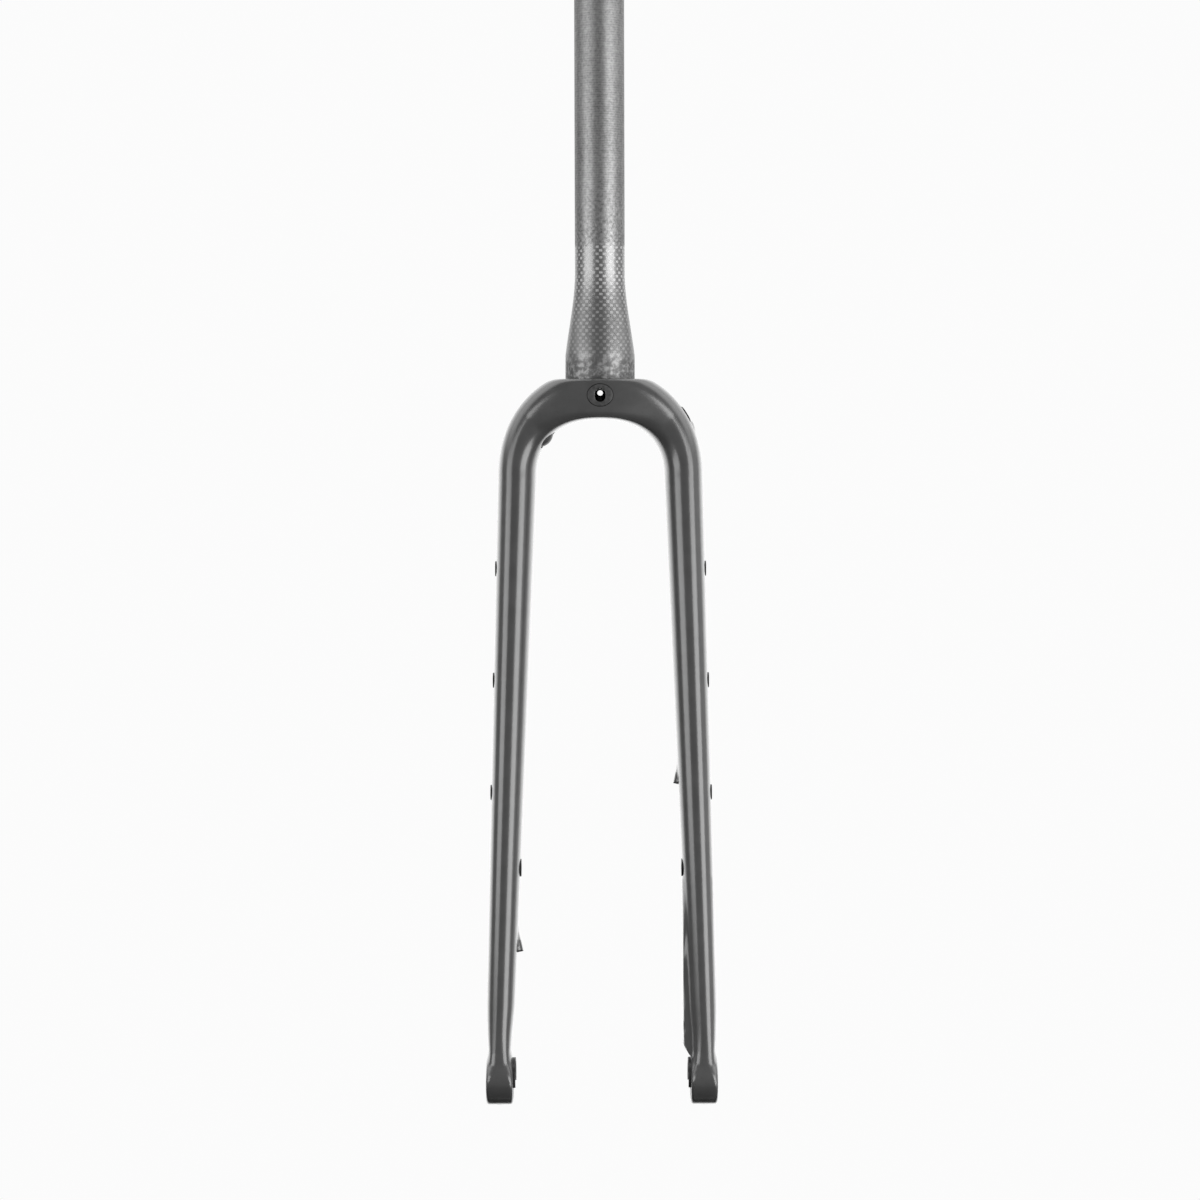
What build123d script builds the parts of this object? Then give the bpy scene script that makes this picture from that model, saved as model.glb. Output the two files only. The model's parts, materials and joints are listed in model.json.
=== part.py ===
"""Rigid carbon bicycle fork with a tapered steerer, disc brake mount and thru-axle dropouts.

The frame is the steerer's own: +Z runs up the steerer axis, the origin is on that axis
at the crown shelf where the lower headset bearing sits, and the fork faces -Y.
+X is the rider's left, which is the disc brake side. All sizes are in millimetres.
"""
from build123d import *
import os
from dataclasses import dataclass
from math import atan2, cos, radians, sin, sqrt

# Steerer
steerer_od = 28.6
steerer_length = 300.0
steerer_bore = 22.6
steerer_end_chamfer = 0.8
race_seat_od = 39.8
race_seat_height = 14.0
taper_top = 62.0
taper_bore = 31.0
taper_foot_slope = 0.12
bore_floor = -16.5

# Crown arch, seen from the front
crown_height = 22.7
arch_spring_z = -56.0
arch_outer_half = 58.7
arch_outer_rise = 62.4
arch_inner_half = 36.8
arch_power = 2.15
arch_inner_power = 2.27
shelf_edge_radius = 1.6

# Depth of the moulding, front to back
crown_half_depth = 28.0
spring_half_depth = 19.5
blade_end_half_depth = 13.0
neck_half_depth = 12.6

# Fullness of the cross-sections: 0.55 is an ellipse, more is squarer
crown_fullness = 0.90
crown_inner_fullness = 1.15
blade_fullness = 0.64
neck_fullness = 0.70
dropout_fullness = 0.84
nose_shift = 0.06

# Blades and axle
axle_to_crown = 398.0
fork_offset = 50.0
lean_start_z = -25.0
hub_width = 100.0
dropout_thickness = 15.2
dropout_radius = 14.7
blade_end_above_axle = 44.0
neck_above_axle = 24.0
blade_end_inset = 1.0
blade_end_thickness = 15.8
neck_outset = 0.7
neck_thickness = 13.8
wall = 2.8
cavity_end_above_axle = 60.0
shoulder_run = 24.0
dropout_edge = 2.4
tip_inset = 0.2

# Thru-axle pieces
axle_diameter = 12.0
axle_clearance = 0.1
axle_thread_bore = 10.5
axle_barrel_od = 17.0
axle_flange_radius = 11.7
axle_flange_thickness = 1.2
axle_outer_recess = 0.6
lip_height = 1.4
lip_wall = 1.7
lip_drop = 3.4

# Threaded inserts
bond_gap = 0.05
m5_thread_bore = 4.2
cage_pitch = 64.0
cage_first_z = -108.3
cage_flange_diameter = 8.7
cage_barrel_diameter = 7.0
cage_barrel_length = 8.0
cage_flange_thickness = 1.0
insert_proud = 0.6
mudguard_z = -277.5
mudguard_flange_diameter = 10.0
brake_insert_diameter = 9.0
brake_insert_length = 9.0
brake_hole_pitch = 70.0

# Flat brake mount behind the rider's left blade
brake_pad_offset = 17.0
brake_pad_front = 8.0
brake_pad_edge = 3.5
brake_pad_inset = 4.0
brake_pad_width = 16.0
brake_hole_outset = 3.5
brake_pad_top_above_axle = 112.0
brake_pad_bottom_above_axle = 8.5
brake_pad_corner_above_axle = 20.0
brake_pad_sweep = 5.0
brake_pad_ramp = 5.0
brake_upper_hole_above_axle = 92.0

# Crown mudguard hole
crown_hole_z = -9.4
crown_insert_width = 15.0
crown_insert_height = 13.1
crown_insert_depth = 9.0
crown_slot_width = 6.0
crown_slot_height = 7.6
crown_rear_z = -7.2
crown_rear_hole = 3.3
crown_rear_flange = 9.0
crown_passage_clearance = 0.7
crown_insert_recess = 0.15

# Hose and cable ports
hose_port_angle = 33.7
hose_port_tilt = 11.0
hose_port_length = 10.4
hose_port_facet_width = 18.0
hose_port_facet_depth = 0.8
hose_slot_length = 8.6
hose_slot_width = 6.4
hose_diameter = 5.0
grommet_flange_margin = 0.8
grommet_flange_thickness = 0.9
grommet_stem_length = 4.2
grommet_wall = 0.7
hose_swell_angle = 27.0
hose_swell_radius = 8.0
hose_swell_height = 0.9
hose_exit_z = -230.6
hose_exit_proud = 2.8
hose_exit_radius = 4.3
hose_exit_run = 26.0
cable_exit_z = -324.8
cable_exit_proud = 3.4
cable_exit_radius = 3.6
cable_exit_run = 24.0
cable_diameter = 3.6
port_back_offset = 5.0
fairing_dive = 4.4
fairing_taper = 1.1
exit_lip_length = 5.0
exit_lip_wall = 0.7
exit_lip_thickness = 0.8
exit_groove_clearance = 0.8
arch_plug_angle = 37.2
arch_plug_forward = 8.0
arch_plug_tilt = 17.0
arch_plug_diameter = 11.4
arch_plug_height = 1.5
arch_plug_seat_depth = 0.9
arch_plug_stem = 7.0
arch_plug_ring_gap = 0.4
arch_plug_stem_length = 5.0

LEFT = 1
RIGHT = -1
ALONG_UP = (Align.CENTER, Align.CENTER, Align.MIN)
ALONG_DOWN = (Align.CENTER, Align.CENTER, Align.MAX)
axle_z = -sqrt(axle_to_crown**2 - fork_offset**2)
brake_pad_inner_x = hub_width / 2 - brake_pad_inset
brake_hole_x = hub_width / 2 + brake_hole_outset
arch_inner_rise = -crown_height - arch_spring_z


@dataclass
class Station:
    """One cross-section of the moulding: its two edge points in the XZ plane and its depth."""
    outer: tuple
    inner: tuple
    half_depth: float
    fullness: float
    inner_fullness: float = blade_fullness

    @property
    def centre(self):
        x = (self.outer[0] + self.inner[0]) / 2
        z = (self.outer[1] + self.inner[1]) / 2
        return (x, z)

    def shrunk(self, thickness):
        """The same section moved inwards by the thickness of the wall."""
        span = Vector(self.outer[0] - self.inner[0], 0, self.outer[1] - self.inner[1])
        step = span.normalized() * thickness
        outer = (self.outer[0] - step.X, self.outer[1] - step.Z)
        inner = (self.inner[0] + step.X, self.inner[1] + step.Z)
        return Station(outer, inner, self.half_depth - thickness, self.fullness, self.inner_fullness)

    def place(self, across, along):
        """Point of the section: across runs from inner (-1) to outer (1), along from front to back."""
        half = Vector(self.outer[0] - self.inner[0], 0, self.outer[1] - self.inner[1]) / 2
        middle = Vector(self.centre[0], blade_y(self.centre[1]), self.centre[1])
        return middle + half * across + Vector(0, along * self.half_depth, 0)

    def quarter(self, side, end):
        """A quarter of the outline, from an edge point round to the front or back."""
        fullness = self.fullness if side > 0 else self.inner_fullness
        handle = nose_shift + fullness * (side - nose_shift)
        return Bezier(self.place(side, 0), self.place(side, end * fullness),
                      self.place(handle, end), self.place(nose_shift, end))

    def wire(self):
        """Closed outline of four smooth quarters."""
        return Wire([self.quarter(side, end) for side, end in ((1, 1), (-1, 1), (-1, -1), (1, -1))])


def blade_y(z):
    """Middle of the moulding, front to back: the blades lean forward in a straight line."""
    if z >= lean_start_z:
        return 0.0
    return -fork_offset * (z - lean_start_z) / (axle_z - lean_start_z)


def arch_edge(half, rise, angle, power=arch_power):
    """Point on a rounded arch: 90 degrees is its top, 0 is where the blade begins."""
    x = half * max(cos(radians(angle)), 0.0) ** (2 / power)
    z = arch_spring_z + rise * sin(radians(angle)) ** (2 / power)
    return (x, z)


def arch_normal(half, rise, angle, power=arch_power):
    """Unit vector out of the arch in the XZ plane, away from the wheel."""
    x, z = arch_edge(half, rise, angle, power)
    across = (x / half) ** (power - 1) / half
    up = ((z - arch_spring_z) / rise) ** (power - 1) / rise
    return Vector(across, 0, up).normalized()


def arch_station(angle):
    share = sin(radians(angle)) ** 2
    depth = spring_half_depth + (crown_half_depth - spring_half_depth) * share
    fullness = blade_fullness + (crown_fullness - blade_fullness) * share
    inner_fullness = blade_fullness + (crown_inner_fullness - blade_fullness) * share
    outer = arch_edge(arch_outer_half, arch_outer_rise, angle)
    inner = arch_edge(arch_inner_half, arch_inner_rise, angle, arch_inner_power)
    return Station(outer, inner, depth, fullness, inner_fullness)


def blade_edges(z):
    """Inner and outer X of the straight blade at a height."""
    end_z = axle_z + blade_end_above_axle
    share = (z - arch_spring_z) / (end_z - arch_spring_z)
    end_inner = hub_width / 2 - blade_end_inset
    end_outer = end_inner + blade_end_thickness
    inner = arch_inner_half + (end_inner - arch_inner_half) * share
    outer = arch_outer_half + (end_outer - arch_outer_half) * share
    return inner, outer


def blade_station(z):
    end_z = axle_z + blade_end_above_axle
    share = (z - arch_spring_z) / (end_z - arch_spring_z)
    inner, outer = blade_edges(z)
    depth = spring_half_depth + (blade_end_half_depth - spring_half_depth) * share
    return Station((outer, z), (inner, z), depth, blade_fullness)


def neck_station():
    z = axle_z + neck_above_axle
    inner = hub_width / 2 + neck_outset
    return Station((inner + neck_thickness, z), (inner, z), neck_half_depth, neck_fullness, neck_fullness)


def dropout_station():
    inner = hub_width / 2 + tip_inset
    outer = hub_width / 2 + dropout_thickness - tip_inset
    depth = dropout_radius - tip_inset
    return Station((outer, axle_z), (inner, axle_z), depth, dropout_fullness, dropout_fullness)


def loft_through(stations, ruled=False):
    return Solid.make_loft([station.wire() for station in stations], ruled=ruled)


def half_fork():
    """Crown and blade on one side: an arched shoulder, a straight blade and a rounded tip."""
    blade_top = blade_station(arch_spring_z - shoulder_run)
    blade_end = blade_station(axle_z + blade_end_above_axle)
    shoulder = [arch_station(angle) for angle in range(90, 0, -10)]
    shoulder += [blade_station(arch_spring_z - shoulder_run * share) for share in (0, 0.35, 0.7)]
    half = loft_through(shoulder + [blade_top])
    half += loft_through([blade_top, blade_end], ruled=True)
    half += loft_through([blade_end, neck_station(), dropout_station()])
    return half + dropout_disc()


def dropout_disc():
    """Round end of a dropout, with softened rims."""
    disc = Cylinder(dropout_radius, dropout_thickness, align=ALONG_DOWN)
    disc = fillet(disc.edges().filter_by(GeomType.CIRCLE), dropout_edge)
    return axle_plane(LEFT) * disc


def blade_cavity():
    """Hollow inside one blade, from the shoulder to above the dropout."""
    stations = [arch_station(angle) for angle in (50, 40, 30, 20, 10, 0)]
    stations += [blade_station(axle_z + cavity_end_above_axle)]
    return loft_through([station.shrunk(wall) for station in stations], ruled=True)


def steerer():
    """Tapered steerer turned about Z, sunk into the crown."""
    foot = bore_floor / 2
    seat = race_seat_od / 2
    tube = steerer_od / 2
    outline = [
        Line((0, 0, foot), (seat, 0, foot)),
        Line((seat, 0, foot), (seat, 0, race_seat_height)),
        Spline((seat, 0, race_seat_height), (tube, 0, taper_top), tangents=[(-taper_foot_slope, 0, 1), (0, 0, 1)]),
        Line((tube, 0, taper_top), (tube, 0, steerer_length - steerer_end_chamfer)),
        Line((tube, 0, steerer_length - steerer_end_chamfer),
             (tube - steerer_end_chamfer, 0, steerer_length)),
        Line((tube - steerer_end_chamfer, 0, steerer_length), (0, 0, steerer_length)),
        Line((0, 0, steerer_length), (0, 0, foot)),
    ]
    return revolve(Face(Wire(outline)), axis=Axis.Z)


def steerer_cavity():
    """Bore of the steerer, widening in the taper and closed by the crown."""
    wide = taper_bore / 2
    narrow = steerer_bore / 2
    top = steerer_length + 1
    outline = Polyline((0, 0, bore_floor), (wide, 0, bore_floor), (wide, 0, 0),
                       (narrow, 0, taper_top), (narrow, 0, top), (0, 0, top), close=True)
    return revolve(Face(Wire(outline.edges())), axis=Axis.Z)


def mirrored(shape):
    return mirror(shape, about=Plane.YZ)


def brake_plane(x, above_axle, back):
    """Plane facing back off the leaning blade, at a distance up from the axle; its Y points down."""
    lean = atan2(fork_offset, lean_start_z - axle_z)
    up = Vector(0, sin(lean), cos(lean))
    rearward = Vector(0, cos(lean), -sin(lean))
    origin = Vector(x, -fork_offset, axle_z) + up * above_axle + rearward * back
    return Plane(origin=origin, x_dir=(1, 0, 0), z_dir=rearward)


def brake_pad():
    """Block on the rider's left blade with a flat rear face; its lower corner sweeps to the dropout."""
    outer = brake_pad_inner_x + brake_pad_width
    foot = brake_pad_inner_x + brake_pad_sweep
    corner = (brake_pad_inner_x, -brake_pad_corner_above_axle)
    heel = (foot, -brake_pad_bottom_above_axle)
    inner_top = (brake_pad_inner_x, -brake_pad_top_above_axle)
    outer_top = (outer, -brake_pad_top_above_axle)
    outer_bottom = (outer, -brake_pad_bottom_above_axle)
    outline = [
        Line(inner_top, corner),
        Spline(corner, heel, tangents=[(0, 1), (0, 1)]),
        Polyline(heel, outer_bottom, outer_top, inner_top),
    ]
    block = extrude(make_face(outline), amount=brake_pad_front + brake_pad_offset)
    rear_edges = block.faces().sort_by(Axis.Z)[-1].edges()
    block = chamfer(rear_edges.filter_by(Axis.X), brake_pad_ramp)
    front_edges = block.faces().sort_by(Axis.Z)[0].edges()
    block = fillet(front_edges.sort_by(Axis.X)[:2], brake_pad_edge)
    return brake_plane(0, 0, -brake_pad_front) * block


def exit_plane(side, exit_z, proud, radius, run):
    """Plane at the mouth of a hose or cable fairing, facing out along its bore."""
    inner, _ = blade_edges(exit_z)
    mouth = Vector(side * (inner - proud + radius), blade_y(exit_z) + port_back_offset, exit_z)
    root_y = blade_y(exit_z + run) + port_back_offset
    root = Vector(mouth.X + side * fairing_dive, root_y, exit_z + run)
    return Plane(origin=mouth, x_dir=(0, 1, 0), z_dir=mouth - root)


def fairing(plane, radius, run):
    """Tapered hood that lets a hose or cable leave the blade pointing down."""
    return plane * Cone(radius - fairing_taper, radius, run, align=ALONG_DOWN)


def exit_bore(plane, radius, diameter, run):
    """Passage from the hollow blade through the fairing, and the run-out groove below its mouth."""
    bore = Cylinder(diameter / 2 + exit_lip_wall + bond_gap, run, align=ALONG_DOWN)
    bore += Cylinder(radius + bond_gap, exit_lip_thickness + bond_gap, align=ALONG_UP)
    bore += Cylinder(diameter / 2 + exit_groove_clearance, run, align=ALONG_UP)
    return plane * bore


def flanged_insert(barrel, barrel_length, flange, flange_thickness, bore):
    """Bonded insert along Z: its flange sits on Z = 0 and its barrel points down."""
    body = Cylinder(barrel / 2, barrel_length, align=ALONG_DOWN)
    body += Cylinder(flange / 2, flange_thickness, align=ALONG_UP)
    reach = 2 * (barrel_length + flange_thickness)
    return body - Cylinder(bore / 2, reach)


def flanged_seat(barrel, barrel_length, flange):
    """Hole and spot face in the moulding for a flanged insert."""
    hole = Cylinder(barrel / 2 + bond_gap, barrel_length + bond_gap, align=ALONG_DOWN)
    return hole + Cylinder(flange / 2 + bond_gap, barrel_length, align=ALONG_UP)


def side_plane(side, z, outward):
    """Seat plane of an insert on a blade's outer or inner face."""
    inner, outer = blade_edges(z)
    sink = cage_flange_thickness - insert_proud
    if outward:
        return Plane(origin=(side * (outer - sink), blade_y(z), z), x_dir=(0, 1, 0), z_dir=(side, 0, 0))
    return Plane(origin=(side * (inner + sink), blade_y(z), z), x_dir=(0, 1, 0), z_dir=(-side, 0, 0))


def cage_planes(side):
    """Three seat planes on a blade's outer face, evenly spaced along the blade."""
    lean = atan2(fork_offset, lean_start_z - axle_z)
    step = cage_pitch * cos(lean)
    return [side_plane(side, cage_first_z - step * k, True) for k in range(3)]


def axle_plane(side):
    """Plane on a dropout's hub face, facing the hub."""
    return Plane(origin=(side * hub_width / 2, -fork_offset, axle_z), x_dir=(0, 1, 1), z_dir=(-side, 0, 0))


def axle_insert(side, bore):
    """Metal dropout insert: barrel, hub face and a raised lip round the hub's end cap."""
    barrel = dropout_thickness - axle_outer_recess
    body = Cylinder(axle_flange_radius, axle_flange_thickness, align=ALONG_DOWN)
    body += Cylinder(axle_barrel_od / 2, barrel, align=ALONG_DOWN)
    ring = Cylinder(axle_flange_radius, lip_height, align=ALONG_UP)
    ring -= Cylinder(axle_flange_radius - lip_wall, lip_height, align=ALONG_UP)
    placed = axle_plane(side) * (body - Cylinder(bore / 2, 4 * dropout_thickness))
    keep = Box(hub_width, 4 * axle_flange_radius, 2 * axle_flange_radius, align=ALONG_UP)
    upper = (axle_plane(side) * ring) & Pos(side * hub_width / 2, -fork_offset, axle_z - lip_drop) * keep
    return placed + upper


def axle_seat(side):
    """Stepped hole through a dropout for its insert."""
    hole = Cylinder(axle_barrel_od / 2 + bond_gap, 4 * dropout_thickness)
    hole += Pos(0, 0, -axle_flange_thickness) * Cylinder(
        axle_flange_radius + bond_gap, axle_flange_thickness + lip_height, align=ALONG_UP)
    return axle_plane(side) * hole


def crown_front_plane():
    return Plane(origin=(0, -crown_half_depth, crown_hole_z), x_dir=(1, 0, 0), z_dir=(0, -1, 0))


def crown_rear_plane():
    return Plane(origin=(0, crown_half_depth, crown_rear_z), x_dir=(1, 0, 0), z_dir=(0, 1, 0))


def crown_front_insert():
    """Oval mudguard insert, flush in the front of the crown, with an upright slot."""
    oval = Ellipse(crown_insert_width / 2, crown_insert_height / 2)
    oval -= SlotOverall(crown_slot_height, crown_slot_width, rotation=90)
    plane = crown_front_plane().offset(-crown_insert_recess)
    return plane * extrude(oval, amount=-crown_insert_depth)


def crown_front_seat():
    oval = Ellipse(crown_insert_width / 2 + bond_gap, crown_insert_height / 2 + bond_gap)
    slot = SlotOverall(crown_slot_height, crown_slot_width, rotation=90)
    seat = extrude(oval, amount=-crown_insert_depth - crown_insert_recess)
    seat += extrude(slot, amount=-crown_half_depth)
    return crown_front_plane() * (seat + extrude(oval, amount=crown_insert_depth))


def crown_rear_insert():
    """Round mudguard insert, flush in the back of the crown."""
    ring = Circle(crown_rear_flange / 2) - Circle(crown_rear_hole / 2)
    plane = crown_rear_plane().offset(-crown_insert_recess)
    return plane * extrude(ring, amount=-crown_insert_depth)


def crown_rear_seat():
    seat = extrude(Circle(crown_rear_flange / 2 + bond_gap), amount=-crown_insert_depth - crown_insert_recess)
    seat += extrude(Circle(crown_rear_flange / 2 + bond_gap), amount=crown_insert_depth)
    seat += extrude(Circle(crown_rear_hole / 2 + crown_passage_clearance), amount=-crown_half_depth)
    return crown_rear_plane() * seat


def tilted_forward(normal, angle):
    """A unit vector of the XZ plane, turned towards the front."""
    return normal * cos(radians(angle)) + Vector(0, -sin(radians(angle)), 0)


def hose_port_plane():
    """Flat facet on the rider's left shoulder where the brake hose goes in, turned a little forward."""
    x, z = arch_edge(arch_outer_half, arch_outer_rise, hose_port_angle)
    normal = arch_normal(arch_outer_half, arch_outer_rise, hose_port_angle)
    origin = Vector(x, blade_y(z), z) - normal * hose_port_facet_depth
    return Plane(origin=origin, x_dir=(0, 1, 0), z_dir=tilted_forward(normal, hose_port_tilt))


def hose_port_seat():
    facet = Box(hose_port_facet_width, hose_port_length, wall, align=ALONG_UP)
    slot = SlotOverall(hose_slot_length + 2 * bond_gap, hose_slot_width + 2 * bond_gap, rotation=90)
    return hose_port_plane() * (facet + extrude(slot, amount=-2 * wall))


def hose_entry_grommet():
    """Soft oval collar in the hose port, with a sloping hole for the hose."""
    flange = SlotOverall(hose_slot_length + 2 * grommet_flange_margin,
                         hose_slot_width + 2 * grommet_flange_margin, rotation=90)
    stem = SlotOverall(hose_slot_length, hose_slot_width, rotation=90)
    body = extrude(flange, amount=grommet_flange_thickness) + extrude(stem, amount=-grommet_stem_length)
    hole = SlotOverall(hose_slot_length - 2 * grommet_wall, hose_diameter, rotation=90)
    body -= extrude(hole, amount=4 * wall, both=True)
    return hose_port_plane() * body


def hose_swell():
    """Low swelling under the hose port."""
    x, z = arch_edge(arch_outer_half, arch_outer_rise, hose_swell_angle)
    normal = arch_normal(arch_outer_half, arch_outer_rise, hose_swell_angle)
    centre = Vector(x, blade_y(z), z) - normal * (hose_swell_radius - hose_swell_height)
    return Pos(*centre) * Sphere(hose_swell_radius)


def arch_plug_plane():
    """Seat of the rubber plug under the crown, on the rider's right."""
    x, z = arch_edge(arch_inner_half, arch_inner_rise, arch_plug_angle, arch_inner_power)
    normal = arch_normal(arch_inner_half, arch_inner_rise, arch_plug_angle, arch_inner_power)
    away = Vector(normal.X, 0, -normal.Z)
    origin = Vector(-x, blade_y(z) - arch_plug_forward, z) - away * arch_plug_seat_depth
    return Plane(origin=origin, x_dir=(0, 1, 0), z_dir=tilted_forward(away, arch_plug_tilt))


def arch_plug():
    """Domed rubber plug that closes the cable entry under the crown."""
    height = arch_plug_height + arch_plug_seat_depth
    radius = arch_plug_diameter / 2
    ball = (radius**2 + height**2) / (2 * height)
    dome = Pos(0, 0, height - ball) * Sphere(ball)
    dome &= Cylinder(radius, height, align=ALONG_UP)
    dome += Cylinder(arch_plug_stem / 2, arch_plug_stem_length, align=ALONG_DOWN)
    return arch_plug_plane() * dome


def arch_plug_seat():
    seat = Cylinder(arch_plug_diameter / 2 + arch_plug_ring_gap, 3 * arch_plug_height, align=ALONG_UP)
    seat += Cylinder(arch_plug_stem / 2 + bond_gap, arch_plug_stem_length, align=ALONG_DOWN)
    return arch_plug_plane() * seat


def exit_grommet(plane, radius, diameter):
    """Thin collar lining the mouth of a hose fairing."""
    stem = Cylinder(diameter / 2 + exit_lip_wall, exit_lip_length, align=ALONG_DOWN)
    stem += Cylinder(radius, exit_lip_thickness, align=ALONG_UP)
    return plane * (stem - Cylinder(diameter / 2, 4 * exit_lip_length))


def exit_plug(plane, radius, diameter):
    """Rubber plug that closes the unused cable exit."""
    stem = Cylinder(diameter / 2 + exit_lip_wall, exit_lip_length, align=ALONG_DOWN)
    head = Cylinder(radius, exit_lip_thickness, align=ALONG_UP)
    head = fillet(head.edges().sort_by(Axis.Z)[-1:], exit_lip_thickness / 2)
    return plane * (stem + head)


hose_exit = exit_plane(LEFT, hose_exit_z, hose_exit_proud, hose_exit_radius, hose_exit_run)
cable_exit = exit_plane(RIGHT, cable_exit_z, cable_exit_proud, cable_exit_radius, cable_exit_run)
brake_upper = brake_plane(brake_hole_x, brake_upper_hole_above_axle, brake_pad_offset)
brake_lower = brake_plane(brake_hole_x, brake_upper_hole_above_axle - brake_hole_pitch, brake_pad_offset)


def fork_body():
    """The one carbon moulding: steerer, crown, both blades, dropouts and brake mount."""
    half = half_fork()
    above_shelf = Box(3 * arch_outer_half, 4 * crown_half_depth, arch_outer_rise, align=ALONG_UP)
    body = half + mirrored(half) - above_shelf
    shelf = body.faces().filter_by(Axis.Z).sort_by(Axis.Z)[-1]
    body = fillet(shelf.edges(), shelf_edge_radius)
    body += brake_pad()
    body += fairing(hose_exit, hose_exit_radius, hose_exit_run)
    body += fairing(cable_exit, cable_exit_radius, cable_exit_run)
    body += hose_swell()
    body += steerer()
    body -= steerer_cavity()
    cavity = blade_cavity()
    body -= cavity
    body -= mirrored(cavity)
    body -= exit_bore(hose_exit, hose_exit_radius, hose_diameter, hose_exit_run)
    body -= exit_bore(cable_exit, cable_exit_radius, cable_diameter, cable_exit_run)
    body -= hose_port_seat()
    body -= arch_plug_seat()
    body -= crown_front_seat()
    body -= crown_rear_seat()
    for side in (LEFT, RIGHT):
        body -= axle_seat(side)
        for plane in cage_planes(side):
            body -= plane * flanged_seat(cage_barrel_diameter, cage_barrel_length, cage_flange_diameter)
        body -= side_plane(side, mudguard_z, False) * flanged_seat(
            cage_barrel_diameter, cage_barrel_length, mudguard_flange_diameter)
    for plane in (brake_upper, brake_lower):
        body -= plane * Cylinder(brake_insert_diameter / 2 + bond_gap, brake_insert_length, align=ALONG_DOWN)
    return body


def brake_insert(plane):
    """Threaded barrel, flush with the brake pad."""
    barrel = Cylinder(brake_insert_diameter / 2, brake_insert_length, align=ALONG_DOWN)
    return plane * (barrel - Cylinder(m5_thread_bore / 2, 3 * brake_insert_length))


def all_nodes():
    nodes = {"fork_body": fork_body()}
    for name, side in (("left", LEFT), ("right", RIGHT)):
        cage = flanged_insert(cage_barrel_diameter, cage_barrel_length, cage_flange_diameter,
                              cage_flange_thickness, m5_thread_bore)
        for place, plane in zip(("top", "middle", "bottom"), cage_planes(side)):
            nodes[f"{name}_cage_insert_{place}"] = plane * cage
        guard = flanged_insert(cage_barrel_diameter, cage_barrel_length, mudguard_flange_diameter,
                               cage_flange_thickness, m5_thread_bore)
        nodes[f"{name}_mudguard_insert"] = side_plane(side, mudguard_z, False) * guard
    nodes["crown_front_insert"] = crown_front_insert()
    nodes["crown_rear_insert"] = crown_rear_insert()
    nodes["hose_entry_grommet"] = hose_entry_grommet()
    nodes["hose_exit_grommet"] = exit_grommet(hose_exit, hose_exit_radius, hose_diameter)
    nodes["cable_entry_plug"] = arch_plug()
    nodes["cable_exit_plug"] = exit_plug(cable_exit, cable_exit_radius, cable_diameter)
    nodes["brake_insert_upper"] = brake_insert(brake_upper)
    nodes["brake_insert_lower"] = brake_insert(brake_lower)
    nodes["axle_bush"] = axle_insert(LEFT, axle_diameter + axle_clearance)
    nodes["axle_thread_insert"] = axle_insert(RIGHT, axle_thread_bore)
    return nodes


os.makedirs("parts", exist_ok=True)
for node_name, solid in all_nodes().items():
    solid.label = node_name
    export_step(solid, f"parts/{node_name}.step")
    print(f"{node_name}: {solid.volume:.1f} mm3")
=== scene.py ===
"""Looks of a rigid carbon bicycle fork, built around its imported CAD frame.

Surfaces are worked out in millimetres in the frame's own axes: +Z runs up the steerer, the
origin is on its axis at the crown shelf, the fork faces -Y and +X is the rider's left.
"""
import json
import logging
import math
from dataclasses import dataclass, field
from enum import Enum

import bmesh
import bpy
import numpy as np
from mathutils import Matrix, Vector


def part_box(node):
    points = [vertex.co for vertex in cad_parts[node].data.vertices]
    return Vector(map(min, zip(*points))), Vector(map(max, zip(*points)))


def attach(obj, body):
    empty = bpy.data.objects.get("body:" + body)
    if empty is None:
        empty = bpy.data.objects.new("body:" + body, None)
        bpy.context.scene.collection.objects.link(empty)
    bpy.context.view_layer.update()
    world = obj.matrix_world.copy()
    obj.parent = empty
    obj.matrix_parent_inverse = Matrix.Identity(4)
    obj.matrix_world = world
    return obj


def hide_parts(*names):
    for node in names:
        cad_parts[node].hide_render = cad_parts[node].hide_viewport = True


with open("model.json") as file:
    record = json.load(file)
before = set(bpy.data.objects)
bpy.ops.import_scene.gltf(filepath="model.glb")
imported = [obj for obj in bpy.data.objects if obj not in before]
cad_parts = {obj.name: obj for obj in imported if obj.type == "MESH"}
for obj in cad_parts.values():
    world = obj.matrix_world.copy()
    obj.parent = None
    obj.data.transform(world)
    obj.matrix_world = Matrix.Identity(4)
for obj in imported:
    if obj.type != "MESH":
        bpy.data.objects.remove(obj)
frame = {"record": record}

MM = 0.001
TAU = 2 * math.pi
LOG = logging.getLogger("fork")

# Radius in millimetres at which a turned piece without a bore closes round its axis.
AXIS_RADIUS = 0.2
# Share of an edge that one eased corner may take at most.
EASE_LIMIT = 0.45
# Rows of points for each turn of a thread.
THREAD_STEPS = 8
# Where nearly all of a noise lies.
NOISE_SPAN = (0.3, 0.7)
# Two numbers that belong together: a low and a high end, or a radius and a height.
Span = tuple[float, float]


class Side(Enum):
    """The rider's sides, as the sign of X."""

    LEFT = 1
    RIGHT = -1


class Edge(Enum):
    """The two edges of the moulding's sections: away from the wheel and towards it."""

    OUTER = "outer"
    INNER = "inner"


class Zone(Enum):
    """Material slots of the record that the finishes belong to."""

    MOULDING = "moulded_carbon"
    METAL = "black_anodised_metal"
    COMPOSITE = "insert_composite"
    RUBBER = "soft_rubber"


def unit(vectors: np.ndarray) -> np.ndarray:
    """Vectors of the same directions, one long."""
    return vectors / np.linalg.norm(vectors, axis=-1, keepdims=True)


def smooth_min(a: np.ndarray, b: np.ndarray, width: float) -> np.ndarray:
    """The lesser of two distances, with the valley between them filled over a width."""
    return np.minimum(a, b) - np.maximum(width - np.abs(a - b), 0.0) ** 2 / (4 * width)


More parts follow.
